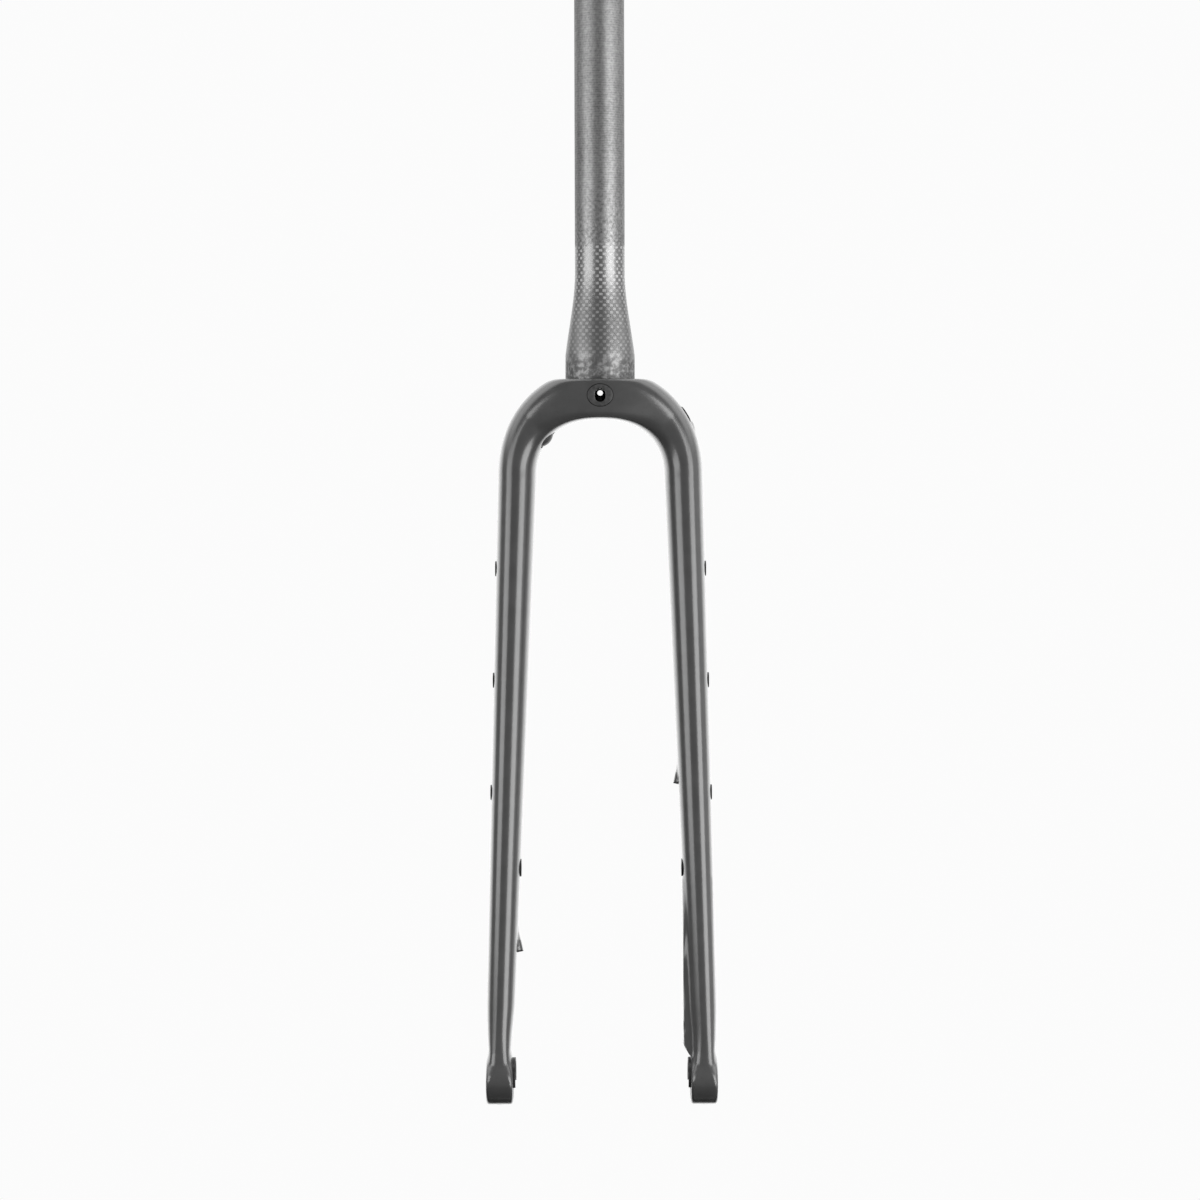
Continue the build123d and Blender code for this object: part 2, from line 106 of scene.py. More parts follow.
def smooth_max(a: np.ndarray, b: np.ndarray, width: float) -> np.ndarray:
    """The greater of two distances, with the ridge between them eased over a width."""
    return -smooth_min(-a, -b, width)


def smooth_step(value: np.ndarray, low: float, high: float) -> np.ndarray:
    """A share that eases from 0 at low to 1 at high: 3 t squared less 2 t cubed."""
    share = np.clip((value - low) / (high - low), 0.0, 1.0)
    return share * share * (3 - 2 * share)


def between(a: np.ndarray | float, b: np.ndarray | float, share: np.ndarray | float) -> np.ndarray | float:
    """The value that lies a share of the way from a to b."""
    return a + (b - a) * share


def eased_corner(past_a: np.ndarray, past_b: np.ndarray, edge: np.ndarray | float) -> np.ndarray:
    """Distance to two faces that meet in a round edge, from the distances past each face.

    Args:
        past_a: distance past the first face.
        past_b: distance past the second.
        edge: radius of the round edge.

    Returns:
        Distances, less than nothing inside.
    """
    over_a, over_b = past_a + edge, past_b + edge
    outside = np.hypot(np.maximum(over_a, 0), np.maximum(over_b, 0))
    return outside + np.minimum(np.maximum(over_a, over_b), 0) - edge


def eased(corners: list[Span], radius: float, ring: bool = True, steps: int = 5) -> np.ndarray:
    """A profile whose corners are small parabolas.

    Each corner becomes (1-t)^2 start + 2t(1-t) corner + t^2 end, where start and end lie
    on the two edges, a radius away or at most a little less than half of the edge.

    Args:
        corners: radius and height of each corner.
        radius: reach of the easing along each edge.
        ring: whether the profile closes on itself; if not, its ends stay as they are.
        steps: points for each corner.

    Returns:
        Points as rows of radius and height.
    """
    points = np.array(corners, float)
    back = np.roll(points, 1, axis=0) - points
    fore = np.roll(points, -1, axis=0) - points
    reach_back = np.minimum(radius, EASE_LIMIT * np.linalg.norm(back, axis=1))[:, None]
    reach_fore = np.minimum(radius, EASE_LIMIT * np.linalg.norm(fore, axis=1))[:, None]
    start = points + unit(back) * reach_back
    end = points + unit(fore) * reach_fore
    if not ring:
        start[[0, -1]] = points[[0, -1]]
        end[[0, -1]] = points[[0, -1]]
    t = np.linspace(0, 1, steps)[None, :, None]
    curve = (1 - t) ** 2 * start[:, None] + 2 * t * (1 - t) * points[:, None] + t**2 * end[:, None]
    curve = curve.reshape(-1, 2)
    if ring:
        return curve
    return curve[steps - 1:len(curve) - steps + 1]


@dataclass(frozen=True)
class Seat:
    """Where a small piece sits: an origin, the way out of the surface and one way along it."""

    origin: np.ndarray
    out: np.ndarray
    side: np.ndarray

    def place(self, x: np.ndarray, y: np.ndarray, z: np.ndarray) -> np.ndarray:
        """Points of the frame for local ones: x along side, z along out, y square to both."""
        third = np.cross(self.out, self.side)
        return self.origin + x[..., None] * self.side + y[..., None] * third + z[..., None] * self.out

    def local(self, points: np.ndarray) -> tuple[np.ndarray, np.ndarray]:
        """Distance of points from the seat's axis, and their height along it.

        Args:
            points: points of the frame.

        Returns:
            Both, for every point.
        """
        offset = points - self.origin
        height = offset @ self.out
        return np.linalg.norm(offset - height[..., None] * self.out, axis=-1), height

    def moved(self, distance: float) -> "Seat":
        """The same seat, further out."""
        return Seat(self.origin + self.out * distance, self.out, self.side)


def seat_at(origin: tuple[float, float, float], out: tuple[float, float, float],
            side: tuple[float, float, float]) -> Seat:
    """A seat from plain numbers, with its directions made one long and square.

    Args:
        origin: place of the seat.
        out: way out of the surface.
        side: a way that lies roughly along the surface.

    Returns:
        The seat.
    """
    outward = unit(np.array(out, float))
    along = np.array(side, float)
    return Seat(np.array(origin, float), outward, unit(along - outward * (along @ outward)))


def tilted_forward(normal: np.ndarray, angle: float) -> np.ndarray:
    """A unit vector of the XZ plane, turned by degrees towards the front."""
    return normal * math.cos(math.radians(angle)) - np.array([0.0, math.sin(math.radians(angle)), 0.0])


def shell(name: str, points: np.ndarray, ring: bool = False, crease: float = 32.0) -> bpy.types.Object:
    """A closed mesh from a grid whose columns run round and whose rows run along.

    Args:
        name: name of the object.
        points: rows by columns by 3, in millimetres.
        ring: whether the last row joins the first; if not, both get a flat cap.
        crease: angle in degrees past which an edge stays sharp.

    Returns:
        The object, at the origin, with its faces turned outwards.
    """
    rows, columns = points.shape[:2]
    index = np.arange(rows * columns).reshape(rows, columns)
    belt = np.vstack([index, index[:1]]) if ring else index
    belt = np.hstack([belt, belt[:, :1]])
    quads = np.stack([belt[:-1, :-1], belt[:-1, 1:], belt[1:, 1:], belt[1:, :-1]], axis=-1)
    faces = quads.reshape(-1, 4).tolist()
    if not ring:
        faces += [index[0].tolist(), index[-1].tolist()]
    mesh = bpy.data.meshes.new(name)
    mesh.from_pydata((points.reshape(-1, 3) * MM).tolist(), [], faces)
    work = bmesh.new()
    work.from_mesh(mesh)
    bmesh.ops.recalc_face_normals(work, faces=work.faces)
    work.to_mesh(mesh)
    work.free()
    piece = linked(name, mesh)
    soften(piece, crease)
    return piece


def linked(name: str, data: bpy.types.ID) -> bpy.types.Object:
    """A new object of a mesh, a lamp or a camera, in the scene.

    Args:
        name: name of the object.
        data: what it shows.

    Returns:
        The object.
    """
    piece = bpy.data.objects.new(name, data)
    bpy.context.scene.collection.objects.link(piece)
    return piece


def soften(piece: bpy.types.Object, crease: float) -> None:
    """Smooth shading, with edges past the crease angle kept sharp."""
    piece.data.shade_smooth()
    piece.data.set_sharp_from_angle(angle=math.radians(crease))


def turned(name: str, seat: Seat, profile: np.ndarray | list[Span], ring: bool = True, segments: int = 72,
           pitch: float = 0.0, groove: np.ndarray | None = None) -> bpy.types.Object:
    """A profile turned about the seat's axis, with a thread where it is asked for.

    The radius at a turn is the profile's, plus the groove's depth times a triangle wave of
    height over pitch less the turn, which makes the groove climb once round.

    Args:
        name: name of the object.
        seat: its axis and place.
        profile: rows of radius and height.
        ring: whether the profile closes on itself, as round a bore.
        segments: points round the axis.
        pitch: rise of the thread in one turn.
        groove: depth of the thread at each point of the profile.

    Returns:
        The object.
    """
    profile = np.asarray(profile, float)
    turn = np.linspace(0, TAU, segments, endpoint=False)[None, :]
    height = np.repeat(profile[:, 1:2], segments, axis=1)
    radius = np.repeat(profile[:, 0:1], segments, axis=1)
    if groove is not None:
        wave = np.abs(2 * np.mod(height / pitch - turn / TAU, 1.0) - 1)
        radius = radius + groove[:, None] * wave
    return shell(name, seat.place(radius * np.cos(turn), radius * np.sin(turn), height), ring)


def threaded(name: str, seat: Seat, corners: list[Span], bevel: float, segments: int, pitch: float,
             depth: float) -> bpy.types.Object:
    """A turned sleeve whose bore has a thread.

    Args:
        name: name of the object.
        seat: its axis and place.
        corners: radius and height from the bore's far end, round the outside, to its mouth.
        bevel: reach of the eased corners.
        segments: points round the axis.
        pitch: rise of the thread in one turn.
        depth: depth of the thread, 0 for a plain bore.

    Returns:
        The object.
    """
    skin = eased(corners, bevel, ring=False)
    bore, mouth = corners[-1]
    length = -min(height for _, height in corners)
    depths = np.linspace(mouth, corners[0][1], int(THREAD_STEPS * length / pitch))[1:-1]
    wall = np.stack([np.full_like(depths, bore), depths], axis=-1)
    groove = np.concatenate([np.zeros(len(skin)), np.full(len(wall), depth)])
    return turned(name, seat, np.vstack([skin, wall]), segments=segments, pitch=pitch, groove=groove)


def stepped_hole(seat: Seat, hole: Span, spot: Span, step: float, segments: int = 72) -> bpy.types.Object:
    """A cutting tool: a round hole up to a step, and a wider spot from there outwards.

    Args:
        seat: axis and place.
        hole: radius of the hole and height of its far end.
        spot: radius of the wide part and height of its open end.
        step: height at which they meet.
        segments: points round the axis.

    Returns:
        The closed tool.
    """
    return turned("tool", seat, [hole, (hole[0], step), (spot[0], step), spot], ring=False, segments=segments)


def stacked(name: str, seat: Seat, outlines: list[np.ndarray], heights: list[float],
            ring: bool = True) -> bpy.types.Object:
    """A skin over outlines of the same count, each at its own height above the seat.

    Args:
        name: name of the object.
        seat: its axis and place.
        outlines: rows of x and y for each level.
        heights: height of each outline.
        ring: whether the last outline joins the first.

    Returns:
        The object.
    """
    flat = np.stack(outlines)
    height = np.repeat(np.array(heights)[:, None], flat.shape[1], axis=1)
    return shell(name, seat.place(flat[..., 0], flat[..., 1], height), ring)


def prism(seat: Seat, outline: np.ndarray, low: float, high: float) -> bpy.types.Object:
    """A cutting tool: one outline carried from a low to a high level over the seat."""
    return stacked("tool", seat, [outline, outline], [low, high], ring=False)


def slot_outline(length: float, width: float, count: int = 96) -> np.ndarray:
    """Two half circles of the slot's width, their middles set apart along x.

    Args:
        length: length over both ends.
        width: width between the sides.
        count: number of points.

    Returns:
        Rows of x and y.
    """
    turn = (np.arange(count) + 0.5) * TAU / count
    shift = np.sign(np.cos(turn)) * (length - width) / 2
    return np.stack([np.cos(turn) * width / 2 + shift, np.sin(turn) * width / 2], axis=-1)


def oval_outline(width: float, height: float, count: int = 96) -> np.ndarray:
    """An ellipse: half of each size times the cosine and the sine of the turn."""
    turn = (np.arange(count) + 0.5) * TAU / count
    return np.stack([np.cos(turn) * width / 2, np.sin(turn) * height / 2], axis=-1)


def combine(piece: bpy.types.Object, tools: list[bpy.types.Object], operation: str) -> None:
    """Adds or cuts closed shells on a piece, and removes them.

    Args:
        piece: the mesh that is worked on.
        tools: closed shells that don't cut one another.
        operation: UNION or DIFFERENCE.
    """
    mesh = bpy.data.meshes.new("tools")
    joined = bmesh.new()
    for tool in tools:
        joined.from_mesh(tool.data)
        bpy.data.objects.remove(tool)
    joined.to_mesh(mesh)
    joined.free()
    helper = linked("tools", mesh)
    step = piece.modifiers.new("step", "BOOLEAN")
    step.operation = operation
    step.solver = "EXACT"
    step.object = helper
    graph = bpy.context.evaluated_depsgraph_get()
    result = bpy.data.meshes.new_from_object(piece.evaluated_get(graph))
    piece.modifiers.clear()
    piece.data = result
    bpy.data.objects.remove(helper)


@dataclass
class Plan:
    """Sizes that several pieces share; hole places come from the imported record's mounts."""

    mounts: dict[str, dict]
    bond_gap: float = 0.05
    arch_spring_z: float = -56.0
    arch_outer_half: float = 58.7
    arch_outer_rise: float = 62.4
    arch_inner_half: float = 36.8
    arch_power: float = 2.15
    arch_inner_power: float = 2.27
    crown_height: float = 22.7
    crown_half_depth: float = 28.0
    lean_start_z: float = -25.0
    dropout_thickness: float = 15.2
    blade_end_above_axle: float = 44.0
    blade_end_inset: float = 1.0
    blade_end_thickness: float = 15.8
    port_back_offset: float = 5.0
    fairing_dive: float = 4.4
    axle: np.ndarray = field(init=False)
    hub_half: float = field(init=False)

    def __post_init__(self) -> None:
        """Reads the axle's place and the hub's width off the axle bush."""
        self.axle = np.array(self.mounts["axle_bush_bore"]["pos_m"]) / MM
        self.hub_half = self.axle[0] - self.length("axle_bush_bore") / 2

    @property
    def blade_end_z(self) -> float:
        """Height at which the straight blade ends."""
        return self.axle[2] + self.blade_end_above_axle

    def mount_seat(self, name: str) -> Seat:
        """Seat at the mouth of a hole that the record states.

        Args:
            name: the mount.

        Returns:
            The seat, with its side level or front to back.
        """
        mount = self.mounts[name]
        axis = np.array(mount["axis"])
        mouth = np.array(mount["pos_m"]) / MM + axis * self.length(name) / 2
        level = (1, 0, 0) if abs(axis[0]) < 0.5 else (0, 1, 0)
        return seat_at(mouth, axis, level)

    def bore(self, name: str) -> float:
        """Radius of a hole that the record states."""
        return self.mounts[name]["dims"]["r_mm"]

    def length(self, name: str) -> float:
        """Length of a hole that the record states."""
        return self.mounts[name]["dims"]["length_mm"]

    def blade_y(self, z: np.ndarray | float) -> np.ndarray | float:
        """Middle of the moulding, front to back: a straight forward lean below its start."""
        share = (np.minimum(z, self.lean_start_z) - self.lean_start_z) / (self.axle[2] - self.lean_start_z)
        return self.axle[1] * share

    def arch(self, edge: Edge) -> tuple[float, float, float]:
        """Half width, rise and superellipse power of the outer or the inner arch.

        Args:
            edge: which of the two.

        Returns:
            The three numbers.
        """
        if edge is Edge.OUTER:
            return self.arch_outer_half, self.arch_outer_rise, self.arch_power
        return self.arch_inner_half, -self.crown_height - self.arch_spring_z, self.arch_inner_power

    def arch_edge(self, edge: Edge, angle: np.ndarray | float) -> tuple:
        """X and Z of a rounded arch: a superellipse, 90 degrees at its top.

        Args:
            edge: which arch.
            angle: degrees from the spring.

        Returns:
            X and Z.
        """
        half, rise, power = self.arch(edge)
        x = half * np.maximum(np.cos(np.radians(angle)), 0.0) ** (2 / power)
        z = self.arch_spring_z + rise * np.sin(np.radians(angle)) ** (2 / power)
        return x, z

    def arch_normal(self, edge: Edge, angle: float) -> np.ndarray:
        """Unit vector out of an arch in the XZ plane: the gradient of its superellipse.

        Args:
            edge: which arch.
            angle: degrees from the spring.

        Returns:
            The vector.
        """
        half, rise, power = self.arch(edge)
        x, z = self.arch_edge(edge, angle)
        across = (x / half) ** (power - 1) / half
        up = ((z - self.arch_spring_z) / rise) ** (power - 1) / rise
        return unit(np.array([across, 0.0, up]))

    def arch_spot(self, edge: Edge, angle: float) -> tuple[np.ndarray, np.ndarray]:
        """Point in the middle of an arch's surface, and the unit vector out of it."""
        x, z = self.arch_edge(edge, angle)
        return np.array([x, self.blade_y(z), z]), self.arch_normal(edge, angle)

    def blade_edges(self, z: np.ndarray | float) -> tuple:
        """Inner and outer X of the straight blade, both linear in height.

        Args:
            z: height or heights.

        Returns:
            Inner and outer X.
        """
        share = (z - self.arch_spring_z) / (self.blade_end_z - self.arch_spring_z)
        end = self.hub_half - self.blade_end_inset
        inner = between(self.arch_inner_half, end, share)
        outer = between(self.arch_outer_half, end + self.blade_end_thickness, share)
        return inner, outer

    def lean_axes(self) -> tuple[np.ndarray, np.ndarray]:
        """Up along the leaning blade, and rearward square to it.

        Returns:
            Two unit vectors.
        """
        lean = math.atan2(-self.axle[1], self.lean_start_z - self.axle[2])
        up = np.array([0.0, math.sin(lean), math.cos(lean)])
        rearward = np.array([0.0, math.cos(lean), -math.sin(lean)])
        return up, rearward


@dataclass
class Exit:
    """Blunt hood low on a blade's inner face, where a hose or a cable leaves it."""

    plan: Plan
    side: Side
    z: float
    proud: float
    radius: float
    run: float
    diameter: float
    taper: float = 1.1
    mouth_band: float = 2.2
    mouth_step: float = 0.1
    mouth_root: float = 5.72
    mouth_bevel: float = 0.35
    lip_wall: float = 0.7
    lip_length: float = 5.0
    lip_thickness: float = 0.8
    lip_bevel: float = 0.3
    groove_clearance: float = 0.8
    bore_share: float = 0.6
    dish_share: float = 0.42
    dish_taper: float = 0.8
    dish_edge: float = 0.55
    dish_floor: float = 0.5
    tool_segments: int = 48

    def seat(self) -> Seat:
        """Seat in the hood's mouth, facing down along its bore.

        Returns:
            The seat.
        """
        inner, _ = self.plan.blade_edges(self.z)
        sign = self.side.value
        back = self.plan.port_back_offset
        x = sign * (inner - self.proud + self.radius)
        top = self.z + self.run
        mouth = np.array([x, self.plan.blade_y(self.z) + back, self.z])
        root = np.array([x + sign * self.plan.fairing_dive, self.plan.blade_y(top) + back, top])
        return seat_at(mouth, mouth - root, (0, 1, 0))

    def distance(self, points: np.ndarray) -> np.ndarray:
        """Distance to the hood's tapered body, which stops a little short of its mouth.

        Args:
            points: points of the frame.

        Returns:
            Distances, less than nothing inside.
        """
        spread, height = self.seat().local(points)
        body = spread - (self.radius - self.mouth_step + self.taper * height / self.run)
        return np.maximum(body, np.maximum(height + self.mouth_band, -height - self.run))

    def mouth_ring(self) -> bpy.types.Object:
        """Short round collar that ends the hood in a crisp face.

        Returns:
            The closed collar.
        """
        corners = [(AXIS_RADIUS, -self.mouth_root), (self.radius - 2 * self.mouth_step, -self.mouth_root),
                   (self.radius, -self.mouth_band), (self.radius, 0.0), (AXIS_RADIUS, 0.0)]
        return turned("mouth_ring", self.seat(), eased(corners, self.mouth_bevel, ring=False), ring=False)

    def bore_tool(self) -> bpy.types.Object:
        """Stepped passage: the lip's seat, the flange's seat and the run-out below the mouth.

        Returns:
            The closed tool.
        """
        gap = self.plan.bond_gap
        stem = self.diameter / 2 + self.lip_wall + gap
        groove = self.diameter / 2 + self.groove_clearance
        flange, face = self.radius + gap, self.lip_thickness + gap
        corners = [(stem, -self.run * self.bore_share), (stem, 0.0), (flange, 0.0), (flange, face),
                   (groove, face), (groove, self.run)]
        return turned("tool", self.seat(), corners, ring=False, segments=self.tool_segments)

    def lip_corners(self) -> list[Span]:
        """Outside corners of the rubber lip: a stem and a thin flange."""
        stem = self.diameter / 2 + self.lip_wall
        return [(stem, -self.lip_length), (stem, 0.0), (self.radius, 0.0), (self.radius, self.lip_thickness)]

    def grommet(self, name: str) -> bpy.types.Object:
        """Rubber collar with an open bore.

        Args:
            name: name of the object.

        Returns:
            The object.
        """
        bore = self.diameter / 2
        corners = self.lip_corners() + [(bore, self.lip_thickness), (bore, -self.lip_length)]
        return turned(name, self.seat(), eased(corners, self.lip_bevel))

    def plug(self, name: str) -> bpy.types.Object:
        """Rubber plug: the same outside, closed by a shallow dish.

        Args:
            name: name of the object.

        Returns:
            The object.
        """
        dish, face = self.diameter * self.dish_share, self.lip_thickness
        corners = [(AXIS_RADIUS, -self.lip_length)] + self.lip_corners()
        corners += [(dish, face), (dish * self.dish_taper, face * self.dish_edge),
                    (AXIS_RADIUS, face * self.dish_floor)]
        return turned(name, self.seat(), eased(corners, self.lip_bevel, ring=False), ring=False)


@dataclass
class BrakeBlock:
    """Flat-mount block behind the rider's left blade, in the blade's leaning axes."""

    plan: Plan
    inset: float = 4.0
    width: float = 16.0
    front: float = 8.0
    back: float = 17.0
    top: float = 112.0
    bottom: float = 8.5
    corner: float = 20.0
    sweep: float = 5.0
    ramp: float = 5.0
    front_edge: float = 1.0
    front_edge_top: float = 6.5
    rear_edge: float = 0.9
    end_edge: float = 1.2

    def distance(self, points: np.ndarray) -> np.ndarray:
        """Distance to the block.

        A rounded rectangle in x and depth, whose inner edge moves outwards along an S from the
        corner to the bottom and gets rounder towards the top, cut by its two ends and by the
        ramps from each end to the rear.

        Args:
            points: points of the frame.

        Returns:
            Distances, less than nothing inside.
        """
        up, rearward = self.plan.lean_axes()
        offset = points - np.array([0.0, self.plan.axle[1], self.plan.axle[2]])
        height, depth = offset @ up, offset @ rearward
        swept = self.sweep * (1 - smooth_step(height, self.bottom, self.corner))
        inner = self.plan.hub_half - self.inset
        half = (self.width - swept) / 2
        across = points[..., 0] - (inner + swept + half)
        middle, reach = (self.back - self.front) / 2, (self.back + self.front) / 2
        rounder = smooth_step(height, self.top / 2, self.top)
        front = between(self.front_edge, self.front_edge_top, rounder)
        edge = np.where((across < 0) & (depth < middle), front, self.rear_edge)
        section = eased_corner(np.abs(across) - half, np.abs(depth - middle) - reach, edge)
        ends = np.abs(height - (self.top + self.bottom) / 2) - (self.top - self.bottom) / 2
        upper = (height + depth - self.top - self.back + self.ramp) / math.sqrt(2)
        lower = (depth - height - self.back + self.bottom + self.ramp) / math.sqrt(2)
        closed = smooth_max(ends, np.maximum(upper, lower), self.end_edge)
        return smooth_max(section, closed, self.end_edge)


@dataclass
class Moulding:
    """Crown, both blades and both dropouts as one skin, with every seat cut into it."""

    plan: Plan
    hose: Exit
    cable: Exit
    block: BrakeBlock
    spring_half_depth: float = 19.5
    blade_end_half_depth: float = 13.0
    neck_half_depth: float = 12.6
    neck_above_axle: float = 24.0
    neck_outset: float = 0.7
    neck_thickness: float = 13.8
    tip_inset: float = 2.1
    dropout_radius: float = 14.7
    dropout_edge: float = 1.8
    dropout_top_edge: float = 7.0
    crown_fullness: float = 0.90
    crown_inner_fullness: float = 1.15
    blade_fullness: float = 0.64
    neck_fullness: float = 0.70
    dropout_fullness: float = 0.95
    nose_shift: float = 0.06
    shelf_ease: float = 2.2
    dropout_blend: float = 1.8
    dropout_top_blend: float = 4.5
    edge_start: float = -4.0
    blend_start: float = 7.0
    block_blend: float = 1.8
    hood_blend: float = 1.6
    swell_blend: float = 2.4
    swell_angle: float = 27.0
    swell_radius: float = 8.0
    swell_height: float = 0.9
    arch_rows: int = 74
    blade_pitch: float = 1.3
    tip_pitch: float = 0.6
    foot_rows: int = 26
    foot_angle: float = 88.0
    quarter_columns: int = 26
    halvings: int = 30
    reach: float = 30.0
    crease: float = 28.0

    def half_rows(self) -> dict[str, np.ndarray]:
        """Cross-sections of one side, from the middle of the crown down to the dropout's foot.

        The shoulder follows two superellipse arches with depth and fullness eased by the sine
        squared of the angle, the blade is linear, the tip runs along cubic Hermite curves through
        the neck, and the foot's rows step down the dropout by the sine of an angle.

        Returns:
            Outer and inner edge points, half depth, fullness towards each edge and whether the
            skin is there.
        """
        plan = self.plan
        angle = np.linspace(90, 0, self.arch_rows)
        share = np.sin(np.radians(angle)) ** 2
        arch_out = np.stack(plan.arch_edge(Edge.OUTER, angle), axis=-1)
        arch_in = np.stack(plan.arch_edge(Edge.INNER, angle), axis=-1)
        arch_depth = between(self.spring_half_depth, plan.crown_half_depth, share)
        arch_full = between(self.blade_fullness, self.crown_fullness, share)
        arch_inner_full = between(self.blade_fullness, self.crown_inner_fullness, share)

        count = int((plan.arch_spring_z - plan.blade_end_z) / self.blade_pitch)
        blade_z = np.linspace(plan.arch_spring_z, plan.blade_end_z, count)[1:]
        inner, outer = plan.blade_edges(blade_z)
        along = (blade_z - plan.arch_spring_z) / (plan.blade_end_z - plan.arch_spring_z)
        blade_depth = between(self.spring_half_depth, self.blade_end_half_depth, along)
        blade = np.stack([outer, inner, blade_depth, np.full_like(blade_z, self.blade_fullness)], axis=-1)

        tip_count = int(plan.blade_end_above_axle / self.tip_pitch)
        tip_z = np.linspace(plan.blade_end_z, plan.axle[2], tip_count)[1:]
        neck_in = plan.hub_half + self.neck_outset
        drop_in = plan.hub_half + self.tip_inset
        drop_out = plan.hub_half + plan.dropout_thickness - self.tip_inset
        neck = np.array([neck_in + self.neck_thickness, neck_in, self.neck_half_depth, self.neck_fullness])
        drop = np.array([drop_out, drop_in, self.dropout_radius - self.tip_inset, self.dropout_fullness])
        slope = (blade[-1] - blade[-2]) / (blade_z[-1] - blade_z[-2])
        neck_z = plan.axle[2] + self.neck_above_axle
        tip = self.tip_curve(tip_z, (plan.blade_end_z, neck_z, plan.axle[2]), (blade[-1], neck, drop), slope)

        foot_angle = np.radians(np.linspace(0, self.foot_angle, self.foot_rows))[1:]
        foot_z = plan.axle[2] - self.dropout_radius * np.sin(foot_angle)
        foot = np.repeat(drop[None], len(foot_z), axis=0)
        foot[:, 2] = self.dropout_radius * np.cos(foot_angle)

        lower = np.vstack([blade, tip, foot])
        lower_z = np.concatenate([blade_z, tip_z, foot_z])
        return {
            "outer": np.vstack([arch_out, np.stack([lower[:, 0], lower_z], axis=-1)]),
            "inner": np.vstack([arch_in, np.stack([lower[:, 1], lower_z], axis=-1)]),
            "depth": np.concatenate([arch_depth, lower[:, 2]]),
            "fullness": np.concatenate([arch_full, lower[:, 3]]),
            "inner_fullness": np.concatenate([arch_inner_full, lower[:, 3]]),
            "skin": np.concatenate([np.ones(len(angle) + len(blade_z) + len(tip_z)), np.zeros(len(foot_z))]),
        }

    @staticmethod
    def tip_curve(z: np.ndarray, knots: tuple, values: tuple, slope: np.ndarray) -> np.ndarray:
        """Cubic Hermite curves through three stations: the first slope given, the last level.

        Args:
            z: heights, falling.
            knots: heights of the stations.
            values: a row of numbers at each station.
            slope: change of the first row with height.

        Returns:
            A row for every height.
        """
        middle = (values[2] - values[0]) / (knots[2] - knots[0])
        slopes = (slope, middle, np.zeros_like(slope))
        parts = []
        for k in range(2):
            span = knots[k + 1] - knots[k]
            t = ((z - knots[k]) / span)[:, None]
            parts.append((2 * t**3 - 3 * t**2 + 1) * values[k] + (t**3 - 2 * t**2 + t) * span * slopes[k]
                         + (3 * t**2 - 2 * t**3) * values[k + 1] + (t**3 - t**2) * span * slopes[k + 1])
        return np.where((z >= knots[1])[:, None], parts[0], parts[1])

    def dropout_distance(self, points: np.ndarray) -> np.ndarray:
        """Distance to either dropout's round end: a disc about the axle, its rim rounder at the top.

        Args:
            points: points of the frame.

        Returns:
            Distances, less than nothing inside.
        """
        half = self.plan.dropout_thickness / 2
        above = points[..., 2] - self.plan.axle[2]
        rounder = smooth_step(above, self.edge_start, self.dropout_radius)
        edge = between(self.dropout_edge, self.dropout_top_edge, rounder)
        past_face = np.abs(np.abs(points[..., 0]) - self.plan.hub_half - half) - half
        past_rim = np.hypot(points[..., 1] - self.plan.axle[1], above) - self.dropout_radius
        return eased_corner(past_face, past_rim, edge)

    def swell_distance(self, points: np.ndarray) -> np.ndarray:
        """Distance to the ball that makes the low swelling under the hose port.

        Args:
            points: points of the frame.

        Returns:
            Distances, less than nothing inside.
        """
        spot, normal = self.plan.arch_spot(Edge.OUTER, self.swell_angle)
        centre = spot - normal * (self.swell_radius - self.swell_height)
        return np.linalg.norm(points - centre, axis=-1) - self.swell_radius

    def skin_points(self) -> np.ndarray:
        """The skin as a grid: rows along the fork from dropout to dropout, columns round it.

        A section's outline is four cubic Bezier quarters between its edge points and its nose.
        Each outline point gives a ray from the section's middle; how far out the skin lies on it
        is found by halving, where the smooth union of the section, the dropouts, the brake block,
        the hoods and the swelling, cut by the shelf, changes sign.

        Returns:
            Rows by columns by 3 points.
        """
        half = self.half_rows()
        sign = np.concatenate([-np.ones(len(half["depth"]) - 1), np.ones(len(half["depth"]))])
        whole = {key: np.concatenate([value[:0:-1], value]) for key, value in half.items()}
        outer = np.stack([whole["outer"][:, 0] * sign, whole["outer"][:, 1]], axis=-1)
        inner = np.stack([whole["inner"][:, 0] * sign, whole["inner"][:, 1]], axis=-1)
        middle, span = (outer + inner) / 2, (outer - inner) / 2
        centre = np.stack([middle[:, 0], self.plan.blade_y(middle[:, 1]), middle[:, 1]], axis=-1)

        ease = np.linspace(0, 1, self.quarter_columns, endpoint=False)
        t = np.concatenate([ease, 1 - ease, ease, 1 - ease])
        edge = np.repeat([1.0, -1.0, -1.0, 1.0], self.quarter_columns)
        end = np.repeat([1.0, 1.0, -1.0, -1.0], self.quarter_columns)
        full = np.where(edge > 0, whole["fullness"][:, None], whole["inner_fullness"][:, None])
        handle = self.nose_shift + full * (edge - self.nose_shift)
        across = (1 - t) ** 2 * (1 + 2 * t) * edge + 3 * (1 - t) * t**2 * handle + t**3 * self.nose_shift
        along = end * (3 * (1 - t) ** 2 * t * full + 3 * (1 - t) * t**2 + t**3)
        depth = whole["depth"][:, None]
        ray = np.stack([across * span[:, 0:1], along * depth, across * span[:, 1:2]], axis=-1)
        section = np.linalg.norm(ray, axis=-1)
        ray = ray / section[..., None]
        absent = self.reach * (1 - whole["skin"][:, None])

        low, high = np.zeros_like(section), section + self.reach
        for _ in range(self.halvings):
            radius = (low + high) / 2
            points = centre[:, None] + ray * radius[..., None]
            outside = self.union(points, radius - section + absent) > 0
            low, high = np.where(outside, low, radius), np.where(outside, radius, high)
        return centre[:, None] + ray * low[..., None]

